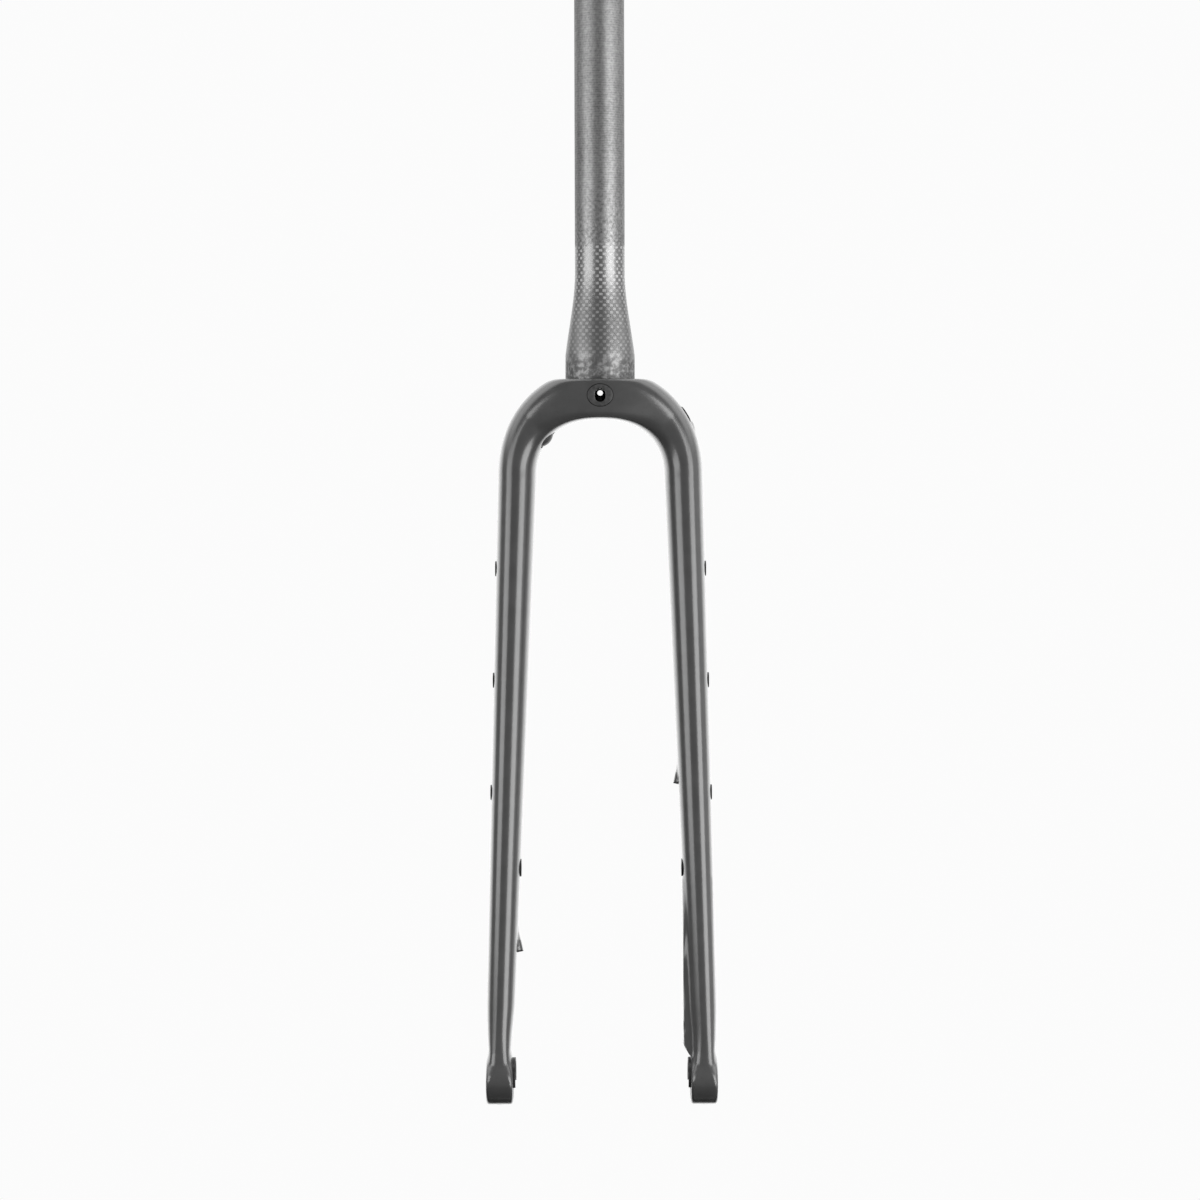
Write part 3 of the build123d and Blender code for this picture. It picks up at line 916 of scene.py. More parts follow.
    def union(self, points: np.ndarray, section: np.ndarray) -> np.ndarray:
        """Smooth union of the section's own distance with everything that grows out of it.

        Args:
            points: points of the frame.
            section: distance of each to its section's outline.

        Returns:
            Distances, less than nothing inside.
        """
        above = smooth_step(points[..., 2] - self.plan.axle[2], self.blend_start, self.dropout_radius)
        rim_blend = between(self.dropout_blend, self.dropout_top_blend, above)
        body = section
        for distance, blend in ((self.dropout_distance, rim_blend), (self.block.distance, self.block_blend),
                                (self.hose.distance, self.hood_blend), (self.cable.distance, self.hood_blend),
                                (self.swell_distance, self.swell_blend)):
            body = smooth_min(body, distance(points), blend)
        return smooth_max(body, points[..., 2], self.shelf_ease)

    def build(self, first: list[bpy.types.Object], second: list[bpy.types.Object]) -> bpy.types.Object:
        """Makes the skin, adds the hoods' mouths and cuts the seats.

        Args:
            first: tools of the first cut.
            second: tools that run on from the first ones.

        Returns:
            The moulding.
        """
        piece = shell("moulding", self.skin_points())
        combine(piece, [self.hose.mouth_ring(), self.cable.mouth_ring()], "UNION")
        combine(piece, first, "DIFFERENCE")
        combine(piece, second, "DIFFERENCE")
        soften(piece, self.crease)
        return piece


@dataclass
class Steerer:
    """Tapered tube with an open bore, standing on the crown shelf."""

    plan: Plan
    end_chamfer: float = 0.8
    race_seat_height: float = 14.0
    taper_top: float = 62.0
    taper_bore: float = 31.0
    foot_slope: float = 0.12
    sink: float = 0.8
    foot_edge: float = 0.2
    bore_edge: float = 0.3
    bore_floor: float = -16.5
    tow: float = 2.07
    rows: int = 60
    segments: int = 160

    def profile(self) -> np.ndarray:
        """Outline from the foot up the outside, over the end and down the bore.

        The taper is a cubic Bezier from the race seat to the tube, its handles a third long.

        Returns:
            Rows of radius and height.
        """
        seat = self.plan.bore("crown_race_seat")
        tube = self.plan.bore("steerer")
        bore = self.plan.bore("steerer_bore")
        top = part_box("fork_body")[1].z / MM
        rise = (self.taper_top - self.race_seat_height) / 3
        t = np.linspace(0, 1, self.rows)[:, None]
        start, end = np.array([seat, self.race_seat_height]), np.array([tube, self.taper_top])
        leave, arrive = start + [-self.foot_slope * rise, rise], end - [0, rise]
        taper = (1 - t) ** 3 * start + 3 * (1 - t) ** 2 * t * leave + 3 * (1 - t) * t**2 * arrive + t**3 * end
        straight = np.linspace(self.taper_top, top - self.end_chamfer, self.rows)[1:]
        outside = np.vstack([[seat, -self.sink], [seat, self.foot_edge], taper,
                             np.stack([np.full_like(straight, tube), straight], axis=-1)])
        rim = [[tube - self.end_chamfer, top], [bore + self.bore_edge, top], [bore, top - self.bore_edge]]
        inside = [[bore, self.taper_top], [self.taper_bore / 2, 0.0], [self.taper_bore / 2, -self.sink]]
        return np.vstack([outside, rim, inside])

    @staticmethod
    def seat() -> Seat:
        """Seat in the frame's origin, facing up."""
        return seat_at((0, 0, 0), (0, 0, 1), (0, 1, 0))

    def build(self) -> bpy.types.Object:
        """Turns the tube and lays a UV map on it, counted in tows round and along it.

        Returns:
            The tube.
        """
        piece = turned("steerer_tube", self.seat(), self.profile(), segments=self.segments)
        corners = np.empty(len(piece.data.loops), np.int32)
        piece.data.loops.foreach_get("vertex_index", corners)
        spot = np.empty(len(piece.data.vertices) * 3, np.float32)
        piece.data.vertices.foreach_get("co", spot)
        spot = spot.reshape(-1, 3)[corners].astype(float) / MM
        turn = np.arctan2(spot[:, 0], -spot[:, 1])
        per_face = turn.reshape(-1, 4)
        crossing = (per_face.max(axis=1) - per_face.min(axis=1) > math.pi)[:, None]
        turn = np.where(crossing & (per_face < 0), per_face + TAU, per_face).reshape(-1)
        round_length = turn * np.hypot(spot[:, 0], spot[:, 1])
        layer = piece.data.uv_layers.new(name="tows")
        layer.data.foreach_set("uv", (np.stack([round_length, spot[:, 2]], axis=-1) / self.tow).ravel())
        return piece

    def bore_tool(self) -> bpy.types.Object:
        """The bore's wide end, sunk into the crown."""
        radius, floor = self.taper_bore / 2, self.bore_floor
        return turned("tool", self.seat(), [(radius, floor), (radius, -floor)], ring=False)


@dataclass
class TurnedInsert:
    """Threaded metal insert with a thin flange, bonded into the moulding."""

    plan: Plan
    mount: str
    flange: float
    barrel: float
    flange_thickness: float = 1.0
    pitch: float = 0.8
    thread_depth: float = 0.35
    countersink: float = 0.45
    bevel: float = 0.22
    segments: int = 48
    tool_segments: int = 64

    def build(self, name: str) -> bpy.types.Object:
        """Turns the insert: barrel, flange where it is the wider, and a threaded bore.

        Args:
            name: name of the object.

        Returns:
            The object.
        """
        bore, length = self.plan.bore(self.mount), self.plan.length(self.mount)
        barrel, flange = self.barrel / 2, self.flange / 2
        corners = [(bore, -length), (barrel, -length)]
        if flange > barrel:
            corners += [(barrel, -self.flange_thickness), (flange, -self.flange_thickness)]
        corners += [(flange, 0.0), (bore + self.countersink, 0.0), (bore, -self.countersink)]
        return threaded(name, self.plan.mount_seat(self.mount), corners, self.bevel, self.segments,
                        self.pitch, self.thread_depth)

    def seat_tool(self) -> bpy.types.Object:
        """Stepped hole for the insert, open outwards.

        Returns:
            The closed tool.
        """
        gap, length = self.plan.bond_gap, self.plan.length(self.mount)
        hole = (self.barrel / 2 + gap, -length - gap)
        spot = (max(self.flange, self.barrel) / 2 + gap, length)
        seat = self.plan.mount_seat(self.mount)
        return stepped_hole(seat, hole, spot, -self.flange_thickness, self.tool_segments)


@dataclass
class AxleInsert:
    """Metal lining of a dropout: a barrel, a hub face and a half-round lip over the hub's end cap."""

    plan: Plan
    side: Side
    mount: str
    threaded: bool
    barrel: float = 17.0
    flange_radius: float = 11.7
    flange_thickness: float = 1.2
    lip_height: float = 1.4
    lip_wall: float = 1.7
    lip_drop: float = 3.4
    lip_root: float = 0.3
    pitch: float = 1.5
    thread_depth: float = 0.6
    countersink: float = 0.7
    end_chamfer: float = 0.6
    bevel: float = 0.3
    crease: float = 32.0
    segments: int = 96
    lip_rows: int = 84

    def seat(self) -> Seat:
        """Seat on the hub face, facing the hub.

        Returns:
            The seat.
        """
        sign = self.side.value
        _, y, z = self.plan.axle
        return seat_at((sign * self.plan.hub_half, y, z), (-sign, 0, 0), (0, 0, 1))

    def build(self, name: str) -> bpy.types.Object:
        """Turns the barrel and adds the lip, its section carried over a little more than half a turn.

        Args:
            name: name of the object.

        Returns:
            The insert.
        """
        bore, length = self.plan.bore(self.mount), self.plan.length(self.mount)
        barrel, flange = self.barrel / 2, self.flange_radius
        corners = [(bore, self.end_chamfer - length), (bore + self.end_chamfer, -length), (barrel, -length),
                   (barrel, -self.flange_thickness), (flange, -self.flange_thickness), (flange, 0.0),
                   (bore + self.countersink, 0.0), (bore, -self.countersink)]
        groove = self.thread_depth if self.threaded else 0.0
        piece = threaded(name, self.seat(), corners, self.bevel, self.segments, self.pitch, groove)
        inner = flange - self.lip_wall
        section = eased([(inner, -self.lip_root), (flange, -self.lip_root), (flange, self.lip_height),
                         (inner, self.lip_height)], self.bevel)
        past = math.pi / 2 + math.asin(self.lip_drop / flange)
        turn = np.linspace(-past, past, self.lip_rows)[:, None]
        radius, height = section[:, 0], np.repeat(section[None, :, 1], len(turn), axis=0)
        lip = shell("lip", self.seat().place(radius * np.cos(turn), radius * np.sin(turn), height))
        combine(piece, [lip], "UNION")
        soften(piece, self.crease)
        return piece

    def seat_tool(self) -> bpy.types.Object:
        """Stepped hole through the dropout, with room for the flange and the lip.

        Returns:
            The closed tool.
        """
        gap = self.plan.bond_gap
        hole = (self.barrel / 2 + gap, -2 * self.plan.dropout_thickness)
        spot = (self.flange_radius + gap, self.lip_height)
        return stepped_hole(self.seat(), hole, spot, -self.flange_thickness, self.segments)


@dataclass
class CrownHoles:
    """Oval mudguard insert in the front of the crown and a small round one behind."""

    plan: Plan
    width: float = 15.0
    height: float = 13.1
    depth: float = 9.0
    slot_width: float = 6.0
    slot_height: float = 7.6
    recess: float = 0.15
    rear_flange: float = 9.0
    rear_pitch: float = 0.7
    passage_clearance: float = 0.7
    passage_end: float = 8.0
    overlap: float = 0.5
    seam: float = 0.22
    bevel: float = 0.35
    first_cut: float = 0.105

    def front_seat(self) -> Seat:
        """Seat on the front of the crown; its side points up."""
        z = self.plan.mounts["crown_front_slot"]["pos_m"][2] / MM
        return seat_at((0, -self.plan.crown_half_depth, z), (0, -1, 0), (0, 0, 1))

    def front_insert(self, name: str) -> bpy.types.Object:
        """Skin from the oval's back over its eased front edge and down the slot.

        Args:
            name: name of the object.

        Returns:
            The object.
        """
        seat = self.front_seat().moved(-self.recess)
        cuts = [0.0, 0.0, self.first_cut, self.bevel]
        rims = [self.seam + cut for cut in cuts]
        outer = [oval_outline(self.height - 2 * rim, self.width - 2 * rim) for rim in rims]
        inner = [slot_outline(self.slot_height + 2 * cut, self.slot_width + 2 * cut) for cut in cuts[::-1]]
        levels = [-self.depth, -self.bevel, -self.first_cut, 0.0]
        return stacked(name, seat, outer + inner, levels + levels[::-1])

    def rear_insert(self) -> TurnedInsert:
        """The threaded insert in the back of the crown."""
        size = self.rear_flange
        return TurnedInsert(self.plan, "crown_rear_hole", size, size, pitch=self.rear_pitch)

    def front_seat_tool(self) -> bpy.types.Object:
        """Oval pocket for the front insert.

        Returns:
            The closed tool.
        """
        gap = 2 * self.plan.bond_gap
        oval = oval_outline(self.height + gap, self.width + gap)
        return prism(self.front_seat(), oval, -self.depth - self.recess, self.depth)

    def passage_tools(self) -> list[bpy.types.Object]:
        """Slot from the front pocket, and round hole from the back, into the steerer's bore.

        Returns:
            Both closed tools.
        """
        slot = slot_outline(self.slot_height, self.slot_width)
        low, high = self.passage_end - self.plan.crown_half_depth, self.overlap - self.depth
        front = prism(self.front_seat(), slot, low, high)
        radius = self.plan.bore("crown_rear_hole") + self.passage_clearance
        rear_seat = self.plan.mount_seat("crown_rear_hole")
        return [front, turned("tool", rear_seat, [(radius, low), (radius, high)], ring=False)]


@dataclass
class HosePort:
    """Flat on the rider's left shoulder with an oval grommet, where the brake hose goes in."""

    plan: Plan
    angle: float = 33.7
    tilt: float = 11.0
    length: float = 10.4
    facet_width: float = 18.0
    facet_depth: float = 0.8
    facet_room: float = 2.8
    slot_length: float = 8.6
    slot_width: float = 6.4
    hose: float = 5.0
    flange_margin: float = 0.8
    flange_thickness: float = 0.9
    stem_length: float = 4.2
    wall: float = 0.7
    bevel: float = 0.35
    first_cut: float = 0.105
    slot_depth: float = 5.6
    overlap: float = 1.0

    def seat(self) -> Seat:
        """Seat on the flat; its side runs front to back."""
        spot, normal = self.plan.arch_spot(Edge.OUTER, self.angle)
        return seat_at(spot - normal * self.facet_depth, tilted_forward(normal, self.tilt), (0, 1, 0))

    def across(self) -> Seat:
        """The same seat with its side along the shoulder, as the slot runs."""
        seat = self.seat()
        return Seat(seat.origin, seat.out, np.cross(seat.out, seat.side))

    def grommet(self, name: str) -> bpy.types.Object:
        """Soft collar: stem, flange with an eased edge, and the hole.

        Args:
            name: name of the object.

        Returns:
            The object.
        """
        flange = (self.slot_length + 2 * self.flange_margin, self.slot_width + 2 * self.flange_margin)
        hole = (self.slot_length - 2 * self.wall, self.hose)
        stem = (self.slot_length, self.slot_width)
        top, cut, first = self.flange_thickness, self.bevel, self.first_cut
        steps = [(hole, 0.0, -self.stem_length), (stem, 0.0, -self.stem_length), (stem, 0.0, 0.0),
                 (flange, 0.0, 0.0), (flange, 0.0, top - cut), (flange, -first, top - first),
                 (flange, -cut, top), (hole, cut, top), (hole, first, top - first), (hole, 0.0, top - cut)]
        outlines = [slot_outline(size[0] + 2 * grow, size[1] + 2 * grow) for size, grow, _ in steps]
        return stacked(name, self.across(), outlines, [height for _, _, height in steps])

    def flat_tool(self) -> bpy.types.Object:
        """Box that planes the flat.

        Returns:
            The closed tool.
        """
        half = np.array([self.facet_width / 2, self.length / 2])
        corner = np.array([[1, 1], [-1, 1], [-1, -1], [1, -1]]) * half
        return prism(self.seat(), corner, 0.0, self.facet_room)

    def slot_tool(self) -> bpy.types.Object:
        """Slot below the flat for the grommet's stem.

        Returns:
            The closed tool.
        """
        gap = 2 * self.plan.bond_gap
        slot = slot_outline(self.slot_length + gap, self.slot_width + gap)
        return prism(self.across(), slot, -self.slot_depth, self.overlap)


@dataclass
class ArchPlug:
    """Domed rubber plug under the crown on the rider's right."""

    plan: Plan
    angle: float = 37.2
    forward: float = 8.0
    tilt: float = 17.0
    diameter: float = 11.4
    height: float = 1.5
    sunk: float = 0.9
    stem: float = 7.0
    stem_length: float = 5.0
    ring_gap: float = 0.4
    rim: float = 0.2
    pocket_room: float = 4.5
    dome_rows: int = 24

    def seat(self) -> Seat:
        """Seat sunk into the inner arch, facing the wheel.

        Returns:
            The seat.
        """
        spot, normal = self.plan.arch_spot(Edge.INNER, self.angle)
        away = np.array([normal[0], 0.0, -normal[2]])
        origin = spot * (Side.RIGHT.value, 1, 1) - (0.0, self.forward, 0.0) - away * self.sunk
        return seat_at(origin, tilted_forward(away, self.tilt), (0, 1, 0))

    def build(self, name: str) -> bpy.types.Object:
        """Turns the plug: a stem, and a dome that is a slice of a ball.

        Args:
            name: name of the object.

        Returns:
            The object.
        """
        rise, radius = self.height + self.sunk, self.diameter / 2
        ball = (radius**2 + rise**2) / (2 * rise)
        spread = np.linspace(radius, AXIS_RADIUS, self.dome_rows)
        dome = np.stack([spread, rise - ball + np.sqrt(ball**2 - spread**2)], axis=-1)
        stem, foot = self.stem / 2, -self.stem_length
        corners = [(AXIS_RADIUS, foot), (stem, foot), (stem, 0.0), (radius - self.rim, 0.0)]
        return turned(name, self.seat(), np.vstack([corners, dome]), ring=False)

    def seat_tool(self) -> bpy.types.Object:
        """Round pocket with a little room round the plug, and the stem's hole.

        Returns:
            The closed tool.
        """
        hole = (self.stem / 2 + self.plan.bond_gap, -self.stem_length)
        spot = (self.diameter / 2 + self.ring_gap, self.pocket_room)
        return stepped_hole(self.seat(), hole, spot, 0.0)


class Signal:
    """A value that nodes work out, which joins in sums by their usual signs."""

    def __init__(self, wire: "Wiring", socket: bpy.types.NodeSocket) -> None:
        """Keeps the socket and the nodes that it belongs to."""
        self.wire = wire
        self.socket = socket

    def __add__(self, other: "Signal | float") -> "Signal":
        """The sum of both."""
        return self.wire.math("ADD", self, other)

    def __sub__(self, other: "Signal | float") -> "Signal":
        """This less the other."""
        return self.wire.math("SUBTRACT", self, other)

    def __rsub__(self, other: float) -> "Signal":
        """A number less this."""
        return self.wire.math("SUBTRACT", other, self)

    def __mul__(self, other: "Signal | float") -> "Signal":
        """The product of both."""
        return self.wire.math("MULTIPLY", self, other)


class Wiring:
    """The nodes of a material or of the world, and short ways to add and join them."""

    def __init__(self, owner: bpy.types.Material | bpy.types.World, shader: str) -> None:
        """Turns the owner's nodes on and finds its main shader by name.

        Args:
            owner: the material or the world.
            shader: name of the shader's node.
        """
        owner.use_nodes = True
        self.tree = owner.node_tree
        self.shader = self.tree.nodes[shader]

    @classmethod
    def of_material(cls, name: str) -> tuple[bpy.types.Material, "Wiring"]:
        """A new material and its nodes."""
        material = bpy.data.materials.new(name)
        return material, cls(material, "Principled BSDF")

    def feed(self, node: bpy.types.Node, values: dict[str | int, object]) -> None:
        """Links sockets of a node to signals, or sets them to plain values.

        Args:
            node: the node.
            values: a signal or a plain value by socket.
        """
        for key, value in values.items():
            if isinstance(value, Signal):
                self.tree.links.new(value.socket, node.inputs[key])
            else:
                node.inputs[key].default_value = value

    def shade(self, values: dict[str, object]) -> None:
        """Feeds the main shader."""
        self.feed(self.shader, values)

    def node(self, kind: str, inputs: dict[str | int, object], output: str | int = 0,
             **options: object) -> Signal:
        """Adds a node with its options and inputs, and gives one of its outputs.

        Args:
            kind: Blender's name for the node's kind.
            inputs: values by socket.
            output: the output that is wanted.
            options: settings by name.

        Returns:
            The signal of that output.
        """
        made = self.tree.nodes.new(kind)
        for option, value in options.items():
            setattr(made, option, value)
        self.feed(made, inputs)
        return Signal(self, made.outputs[output])

    def math(self, operation: str, *values: Signal | float) -> Signal:
        """One sum on numbers or signals."""
        return self.node("ShaderNodeMath", dict(enumerate(values)), operation=operation)

    def spread(self, value: Signal, span: Span, to: tuple = (0.0, 1.0)) -> Signal:
        """Eases a value from one span into another, held at its ends."""
        inputs = dict(enumerate((value, *span, *to)))
        return self.node("ShaderNodeMapRange", inputs, interpolation_type="SMOOTHSTEP")

    def around(self, cloud: Signal, middle: float, reach: float) -> Signal:
        """A value that follows a cloud up to a reach below and above its middle."""
        return self.spread(cloud, NOISE_SPAN, (middle - reach, middle + reach))

    def blend(self, share: Signal, a: Signal | float, b: Signal | float) -> Signal:
        """Number a where the share is 0 and b where it is 1."""
        return self.node("ShaderNodeMix", {0: share, 2: a, 3: b}, data_type="FLOAT")

    def place(self, output: str, stretch: float = 1.0) -> Signal:
        """Object or UV coordinates, drawn out along Z where the stretch is less than 1."""
        source = self.node("ShaderNodeTexCoord", {}, output)
        return self.node("ShaderNodeMapping", {"Scale": (1.0, 1.0, stretch), "Vector": source})

    def parts(self, vector: Signal) -> list[Signal]:
        """The three numbers of a vector."""
        first = self.node("ShaderNodeSeparateXYZ", {0: vector})
        return [Signal(self, output) for output in first.socket.node.outputs]

    def noise(self, vector: Signal, scale: float, detail: float = 2.0, rough: float = 0.5) -> Signal:
        """Cloudy noise from 0 to 1."""
        inputs = {"Vector": vector, "Scale": scale, "Detail": detail, "Roughness": rough}
        return self.node("ShaderNodeTexNoise", inputs, "Fac")

    def bump(self, height: Signal, distance: float, strength: float) -> Signal:
        """A normal from a height in shares of a distance, in metres."""
        return self.node("ShaderNodeBump", {"Height": height, "Distance": distance, "Strength": strength})


@dataclass(frozen=True)
class SatinLacquer:
    """Dark grey satin lacquer over the crown and blades."""

    shade: float = 0.072
    mottle: float = 0.006
    mottle_scale: float = 90.0
    roughness: float = 0.34
    rub: float = 0.03
    rub_scale: float = 260.0
    specular: float = 0.30
    coat_roughness: float = 0.22
    coat_index: float = 1.6
    peel_scale: float = 900.0
    peel_depth: float = 0.000004
    peel_strength: float = 0.2

    def material(self) -> bpy.types.Material:
        """Grey under a satin coat, faintly cloudy, with the finest orange peel.

        Returns:
            The material.
        """
        material, wire = Wiring.of_material("satin_lacquer")
        spot = wire.place("Object")
        cloud = wire.noise(spot, self.mottle_scale, detail=3.0)
        peel = wire.noise(spot, self.peel_scale, detail=1.0)
        wire.shade({
            "Base Color": wire.around(cloud, self.shade, self.mottle),
            "Roughness": wire.around(wire.noise(spot, self.rub_scale), self.roughness, self.rub),
            "Specular IOR Level": self.specular,
            "Coat Weight": 1.0,
            "Coat Roughness": self.coat_roughness,
            "Coat IOR": self.coat_index,
            "Coat Normal": wire.bump(peel, self.peel_depth, self.peel_strength),
        })
        return material


@dataclass(frozen=True)
class Weave:
    """Plain weave counted in tows: how wavy its rows are, and how each crest fades out."""

    wave_scale: Span = (130.0, 150.0)
    wave: Span = (0.5, 0.35)
    width_fade: Span = (0.60, 0.30)
    height_fade: Span = (0.47, 0.22)

    def crests(self, wire: Wiring, spot: Signal) -> Signal:
        """The hoop tows' crests, from 0 to 1, in the cells whose row and column add up to an odd number.

        Args:
            wire: nodes of the material.
            spot: object coordinates.

        Returns:
            A rounded spot nearly as large as the cell in every second cell, and 0 between them.
        """
        number, crest = [], []
        fades = (self.width_fade, self.height_fade)
        for tow, scale, wave, fade in zip(wire.parts(wire.place("UV")), self.wave_scale, self.wave, fades):
            tow = tow + wire.noise(spot, scale, detail=1.0) * wave
            number.append(wire.math("FLOOR", tow))
            crest.append(wire.spread(wire.math("ABSOLUTE", wire.math("FRACT", tow) - 0.5), fade))
        odd = wire.math("PINGPONG", number[0] + number[1], 1.0)
        return crest[0] * crest[1] * odd


@dataclass(frozen=True)
class BareWeave:
    """Bare woven carbon on the steerer: glossy at the foot, sanded dull higher up. Heights are in metres."""

    weave: Weave = Weave()
    ground: float = 0.265
    # Colour of the hoop tows' crests: the weave's own pattern, brightened into a painted highlight of their
    # glint.
    crest: float = 0.60
    sanded: float = 0.28
    # Sanded colour at the top of the tube: lighter than lower down as painted light, where the lamps fall
    # short.
    cut: float = 0.32
    darkest: float = 0.03
    metal: float = 0.75
    edge_tint: float = 0.5

    gloss_line: Span = (0.0727, 0.0737)
    weave_fade: Span = (0.0814, 0.1114)
    seat_fade: Span = (0.0135, 0.0055)
    clear_span: Span = (0.020, 0.056)
    straight_span: Span = (0.036, 0.058)
    # Heights over which the sanded colour is painted lighter, as painted light towards the top.
    painted_top_light_span: Span = (0.10, 0.20)

    rag: float = 0.006
    rag_scale: float = 420.0
    rag_stretch: float = 0.35
    streak: float = 0.16
    streak_scale: float = 190.0
    streak_stretch: float = 0.18
    speckle: Span = (0.62, 0.40)
    speckle_scale: float = 620.0
    speckle_rough: float = 0.65
    blotch: Span = (-0.10, 0.12)
    blotch_span: Span = (0.40, 0.68)
    blotch_scale: float = 380.0
    blotch_rough: float = 0.55
    wear: Span = (0.25, 1.0)
    wear_span: Span = (0.32, 0.58)
    wear_scale: float = 240.0
    foot_clearness: float = 0.45
    sanded_clearness: float = 0.40
    # Painted shade: share of the glossy colour left on the taper, darker than on the straight tube where its
    # upward slope catches less lamp light.
    taper_painted_shade: float = 0.9
    # Painted highlight: the crests' glint, added to the sanded colour.
    sanded_crest_glint: float = 0.20
    wrap: float = 0.028
    wrap_pitch: float = 0.00137
    wrap_sway: float = 6.0

    gloss_roughness: Span = (0.33, 0.58)
    seat_roughness: float = 0.52
    matt_roughness: float = 0.42
    coat: Span = (0.4, 0.1)
    coat_roughness: float = 0.16
    wrap_relief: float = 0.08
    speckle_relief: float = 0.5
    relief_depth: float = 0.00005
    relief_strength: float = 0.3

    def material(self) -> bpy.types.Material:
        """Zones by height, with ragged borders: race seat, glossy weave, sanded weave and bare wrapping.

        Cloudy resin hides the crests on the race seat, sanding wears them down over the gloss line, and above
        the weave only the lines of the wrapping are left, a sine of the height.
        The crests are painted lighter, partly as the weave's own pattern and partly as a painted highlight of
        their glint; the taper is painted darker as painted shade, and the sanded zone lighter towards the top
        as painted light.

        Returns:
            The material.
        """
        material, wire = Wiring.of_material("bare_weave")
        spot = wire.place("Object")
        height = wire.parts(spot)[2]
        speckle = wire.noise(spot, self.speckle_scale, detail=3.0, rough=self.speckle_rough) - 0.5
        streak = wire.noise(wire.place("Object", self.streak_stretch), self.streak_scale) - 0.5
        ragged = wire.noise(wire.place("Object", self.rag_stretch), self.rag_scale, detail=3.0)
        level = height - ragged * self.rag
        matt = wire.spread(level, self.gloss_line)
        bare = wire.spread(level, self.weave_fade)
        seat = wire.spread(level, self.seat_fade)

        worn = wire.spread(wire.noise(spot, self.wear_scale), self.wear_span, self.wear)
        clear = wire.spread(level, self.clear_span, (self.foot_clearness, 1.0))
        clear = wire.blend(matt, clear, wire.blend(bare, self.sanded_clearness, 0.0))
        crest = self.weave.crests(wire, spot) * (1.0 - seat) * worn * clear
        wraps = wire.math("SINE", height * (TAU / self.wrap_pitch) + streak * self.wrap_sway) * bare

        # Painted shade: the glossy weave is painted darker on the taper than on the straight tube.
        straight = wire.spread(level, self.straight_span, (self.taper_painted_shade, 1.0))
        blotch = wire.noise(spot, self.blotch_scale, detail=3.0, rough=self.blotch_rough)
        blotch = wire.spread(blotch, self.blotch_span, self.blotch)
        # The crests are painted lighter than the ground: partly the weave's pattern, partly a painted
        # highlight of their glint.
        gloss = straight * wire.blend(crest, self.ground, self.crest) + blotch * seat
        # Painted light: the sanded colour rises with height; the crests add a painted glint.
        dull = wire.spread(height, self.painted_top_light_span, (self.sanded, self.cut)) + crest * self.sanded_crest_glint
        dull = dull + speckle * wire.blend(bare, *self.speckle) + wraps * self.wrap + streak * self.streak
        smooth = wire.blend(seat, wire.blend(crest, *self.gloss_roughness), self.seat_roughness)
        relief = crest + speckle * self.speckle_relief + wraps * self.wrap_relief
        wire.shade({
            "Base Color": wire.math("MAXIMUM", wire.blend(matt, gloss, dull), self.darkest),
            "Metallic": self.metal,
            "Roughness": wire.blend(matt, smooth, self.matt_roughness),
            "Specular Tint": (self.edge_tint, self.edge_tint, self.edge_tint, 1.0),
            "Coat Weight": wire.blend(matt, wire.blend(seat, *self.coat), 0.0),
            "Coat Roughness": self.coat_roughness,
            "Normal": wire.bump(relief, self.relief_depth, self.relief_strength),
        })
        return material


@dataclass(frozen=True)
class Plain:
    """A finish of one dark shade with a fine grain."""

    name: str
    shade: float
    metal: float
    roughness: float
    grain: float
    grain_depth: float
    shade_reach: float = 0.2
    roughness_reach: float = 0.06
    grain_strength: float = 0.4

    def material(self) -> bpy.types.Material:
        """Dark shade whose roughness and surface follow the grain.

        Returns:
            The material.
        """
        material, wire = Wiring.of_material(self.name)
        grain = wire.noise(wire.place("Object"), self.grain)
        wire.shade({
            "Base Color": wire.around(grain, self.shade, self.shade_reach * self.shade),
            "Metallic": self.metal,
            "Roughness": wire.around(grain, self.roughness, self.roughness_reach),
            "Normal": wire.bump(grain, self.grain_depth, self.grain_strength),
        })
        return material


ANODISED = Plain("black_anodised", 0.050, 0.55, 0.36, 900.0, 0.00002)
COMPOSITE = Plain("dark_composite", 0.062, 0.0, 0.42, 600.0, 0.00002)
RUBBER = Plain("matt_rubber", 0.016, 0.0, 0.62, 1400.0, 0.00003)
POLISHED_RUBBER = Plain("polished_rubber", 0.075, 0.0, 0.36, 1400.0, 0.00001)


@dataclass(frozen=True)
class Softbox:
    """A tall soft lamp: its degrees from the camera's side towards +X, its height and brightness."""

    name: str
    angle: float
    bottom: float
    top: float
    radiance: float
    width: float
    distance: float = 1.5

    def build(self) -> None:
        """Hangs the lamp on a circle round the fork, turned to its axis."""
        light = bpy.data.lights.new(self.name, "AREA")
        light.shape = "RECTANGLE"
        light.size = self.width
        light.size_y = self.top - self.bottom
        light.energy = self.radiance * math.pi * light.size * light.size_y
        lamp = linked(self.name, light)
        turn = math.radians(self.angle)
        lamp.location = (self.distance * math.sin(turn), -self.distance * math.cos(turn),
                         (self.top + self.bottom) / 2)
        lamp.rotation_euler = (math.radians(90), 0.0, turn)


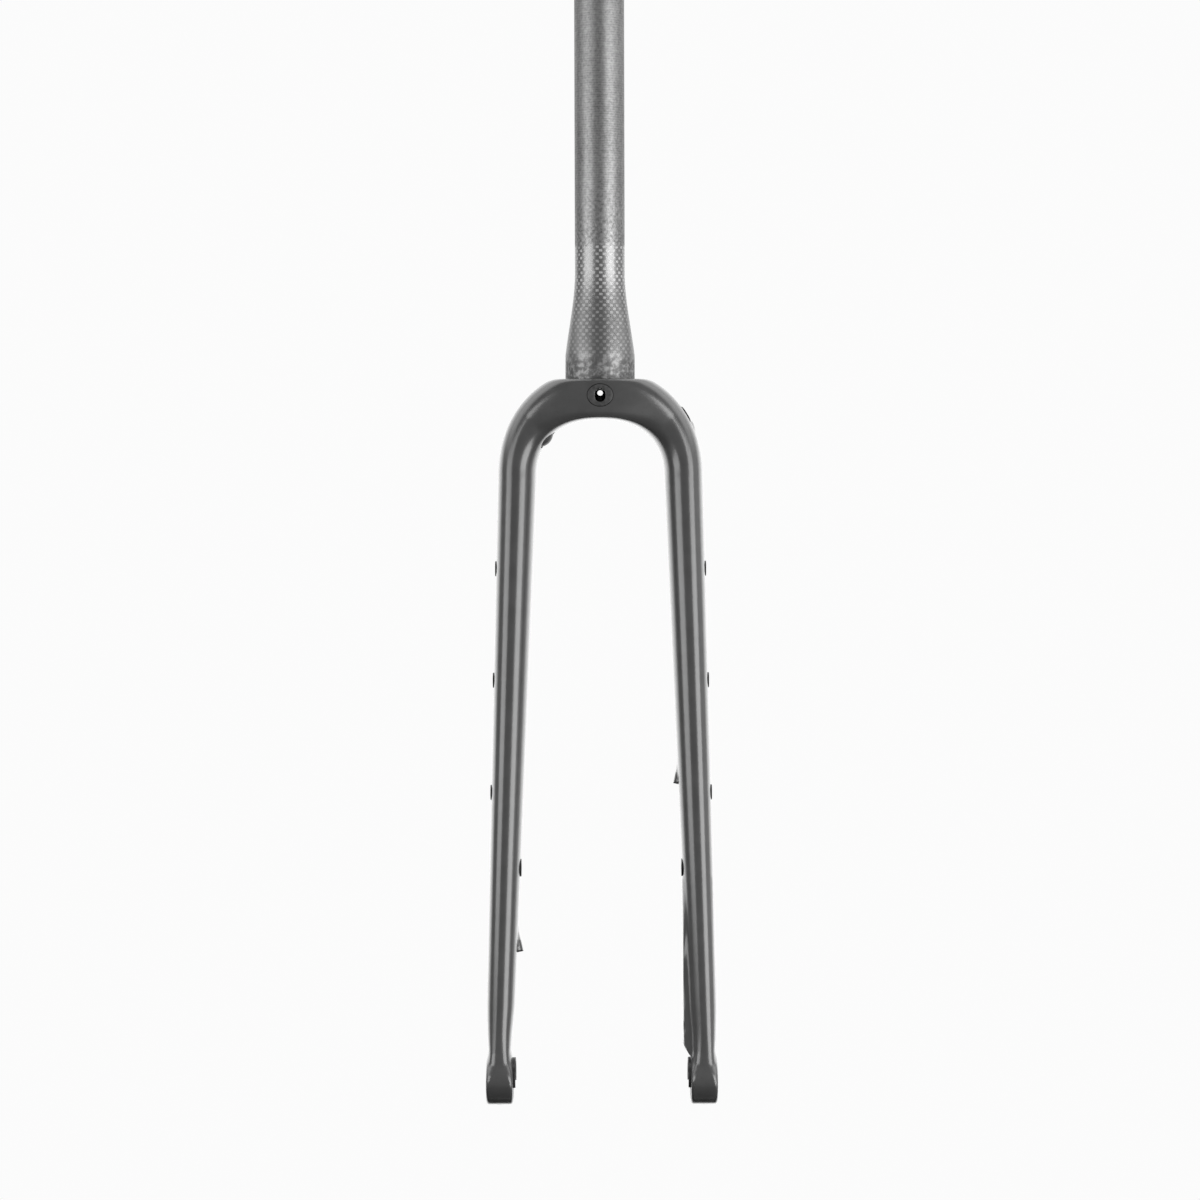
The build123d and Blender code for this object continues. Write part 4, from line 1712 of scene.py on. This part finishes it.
@dataclass
class Studio:
    """Camera, two tall soft lamps, a white room behind and a pale floor."""

    camera_place: tuple[float, float, float] = (-0.00018, -1.819, -0.045)
    pitch_down: float = 2.578
    roll: float = 0.152
    lens: float = 94.68
    sensor: float = 36.0
    backdrop: float = 0.968
    sweep: float = 1.45
    sweep_edge: Span = (0.45, 0.70)
    sweep_foot: Span = (-0.85, -0.55)
    sweep_top: Span = (0.04, 0.20)
    far_top: float = 1.0
    room: float = 0.14
    room_foot: Span = (-0.50, -0.35)
    ceiling: float = 1.70
    ceiling_foot: Span = (0.12, 0.40)
    ceiling_front: Span = (-0.42, -0.08)
    ceiling_back: Span = (0.25, 0.60)
    left_wall: float = 0.20
    right_wall: float = 0.60
    left_edge: Span = (-0.80, -0.97)
    right_edge: Span = (0.80, 0.97)
    lamps: tuple[Softbox, ...] = (Softbox("left_softbox", -54.0, -0.31, 0.33, 3.4, 1.25),
                                  Softbox("right_softbox", 49.0, -0.80, 0.34, 4.5, 1.15))
    floor_z: float = -5.0
    floor_radius: float = 0.25
    floor_corners: int = 96
    floor_shade: float = 0.60
    floor_mottle: float = 0.02
    floor_scale: float = 12.0
    floor_roughness: float = 0.7

    def build(self) -> None:
        """Sets up the view, the lamps, the room and the floor."""
        scene = bpy.context.scene
        scene.view_settings.view_transform = "Standard"
        view = bpy.data.cameras.new("camera")
        view.lens = self.lens
        view.sensor_width = self.sensor
        camera = linked("camera", view)
        camera.location = self.camera_place
        camera.rotation_euler = (math.radians(90 - self.pitch_down), math.radians(self.roll), 0.0)
        scene.camera = camera
        for lamp in self.lamps:
            lamp.build()
        self.world()
        self.floor()

    def world(self) -> None:
        """A room that is dark in front, white behind and overhead, and grey on both sides.

        Each wall is the direction's own axis, eased from the room's level to the wall's; the
        brightest of them counts. The camera sees the white of the backdrop all round.
        """
        world = bpy.data.worlds.new("studio")
        bpy.context.scene.world = world
        wire = Wiring(world, "Background")
        right, back, up = wire.parts(wire.node("ShaderNodeTexCoord", {}, "Generated"))
        sweep = wire.spread(up, self.sweep_foot, (0.0, self.sweep))
        sweep = wire.spread(up, self.sweep_top, (sweep, self.far_top))
        behind = wire.spread(back, self.sweep_edge, (0.0, sweep))
        front = wire.spread(up, self.room_foot, (0.0, self.room))
        above = wire.spread(back, self.ceiling_back, (self.ceiling, self.far_top))
        above = wire.spread(back, self.ceiling_front, (front, above))
        above = wire.spread(up, self.ceiling_foot, (front, above))
        beside = wire.spread(right, self.right_edge, (0.0, self.right_wall))
        beside = beside + wire.spread(right, self.left_edge, (0.0, self.left_wall))
        light = wire.math("MAXIMUM", behind, wire.math("MAXIMUM", above, beside))
        seen = wire.node("ShaderNodeLightPath", {}, "Is Camera Ray")
        wire.shade({"Color": wire.blend(seen, light, self.backdrop)})

    def floor(self) -> None:
        """A pale round floor below the fork, out of the photograph's view."""
        turn = np.linspace(0, TAU, self.floor_corners, endpoint=False)
        ring = np.stack([np.cos(turn), np.sin(turn), np.zeros_like(turn)], axis=-1) * self.floor_radius
        ring[:, 2] = self.floor_z
        mesh = bpy.data.meshes.new("floor")
        mesh.from_pydata(ring.tolist(), [], [list(range(len(turn)))])
        piece = linked("floor", mesh)
        material, wire = Wiring.of_material("pale_floor")
        cloud = wire.noise(wire.place("Object"), self.floor_scale)
        wire.shade({
            "Base Color": wire.around(cloud, self.floor_shade, self.floor_mottle),
            "Roughness": self.floor_roughness,
        })
        mesh.materials.append(material)


def dress(piece: bpy.types.Object, node: str, finish: bpy.types.Material) -> None:
    """Gives a piece its finish and lets it stand for its CAD node.

    Args:
        piece: the finished mesh.
        node: the CAD node it replaces.
        finish: its material.
    """
    piece.data.materials.clear()
    piece.data.materials.append(finish)
    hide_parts(node)
    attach(piece, "root")
    LOG.info("%s: %d faces", piece.name, len(piece.data.polygons))


@dataclass
class Fork:
    """The whole fork: the moulding and steerer, and each piece bonded into them."""

    plan: Plan
    cage_flange: float = 8.7
    guard_flange: float = 10.0
    insert_barrel: float = 7.0
    brake_barrel: float = 9.0
    hose_z: float = -230.6
    cable_z: float = -324.8

    def inserts(self) -> dict[str, TurnedInsert]:
        """Every threaded insert by its CAD node.

        Returns:
            The inserts, not yet built.
        """
        made = {}
        for side in ("left", "right"):
            for place in ("top", "middle", "bottom"):
                made[f"{side}_cage_insert_{place}"] = TurnedInsert(
                    self.plan, f"{side}_cage_hole_{place}", self.cage_flange, self.insert_barrel)
            made[f"{side}_mudguard_insert"] = TurnedInsert(
                self.plan, f"{side}_mudguard_hole", self.guard_flange, self.insert_barrel)
        for place in ("upper", "lower"):
            made[f"brake_insert_{place}"] = TurnedInsert(
                self.plan, f"brake_hole_{place}", self.brake_barrel, self.brake_barrel)
        return made

    def build(self) -> None:
        """Builds and dresses all pieces."""
        plan = self.plan
        hose = Exit(plan, Side.LEFT, self.hose_z, proud=2.8, radius=4.3, run=26.0, diameter=5.0)
        cable = Exit(plan, Side.RIGHT, self.cable_z, proud=3.4, radius=3.6, run=24.0, diameter=3.6)
        crown, port, plug, steerer = CrownHoles(plan), HosePort(plan), ArchPlug(plan), Steerer(plan)
        bush = AxleInsert(plan, Side.LEFT, "axle_bush_bore", threaded=False)
        thread = AxleInsert(plan, Side.RIGHT, "axle_thread", threaded=True)
        inserts = self.inserts()

        first = [insert.seat_tool() for insert in inserts.values()]
        first += [bush.seat_tool(), thread.seat_tool(), hose.bore_tool(), cable.bore_tool()]
        first += [crown.front_seat_tool(), crown.rear_insert().seat_tool(), steerer.bore_tool()]
        first += [port.flat_tool(), plug.seat_tool()]
        second = crown.passage_tools() + [port.slot_tool()]
        moulding = Moulding(plan, hose, cable, BrakeBlock(plan)).build(first, second)

        metal, rubber, composite = ANODISED.material(), RUBBER.material(), COMPOSITE.material()
        dress(moulding, "fork_body", SatinLacquer().material())
        dress(steerer.build(), "fork_body", BareWeave().material())
        for node, insert in inserts.items():
            dress(insert.build(node + "_turned"), node, metal)
        dress(bush.build("axle_bush_turned"), "axle_bush", metal)
        dress(thread.build("axle_thread_turned"), "axle_thread_insert", metal)
        dress(crown.front_insert("crown_front_oval"), "crown_front_insert", composite)
        dress(crown.rear_insert().build("crown_rear_ring"), "crown_rear_insert", composite)
        dress(port.grommet("hose_entry_collar"), "hose_entry_grommet", rubber)
        dress(hose.grommet("hose_exit_collar"), "hose_exit_grommet", rubber)
        dress(plug.build("cable_entry_dome"), "cable_entry_plug", POLISHED_RUBBER.material())
        dress(cable.plug("cable_exit_stopper"), "cable_exit_plug", rubber)


def main() -> None:
    """Builds the fork and its studio."""
    logging.basicConfig(level=logging.INFO, format="%(message)s")
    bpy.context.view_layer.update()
    mounts = {mount["name"]: mount for mount in frame["record"]["mounts"]}
    Fork(Plan(mounts)).build()
    Studio().build()


if __name__ == "__main__":
    main()
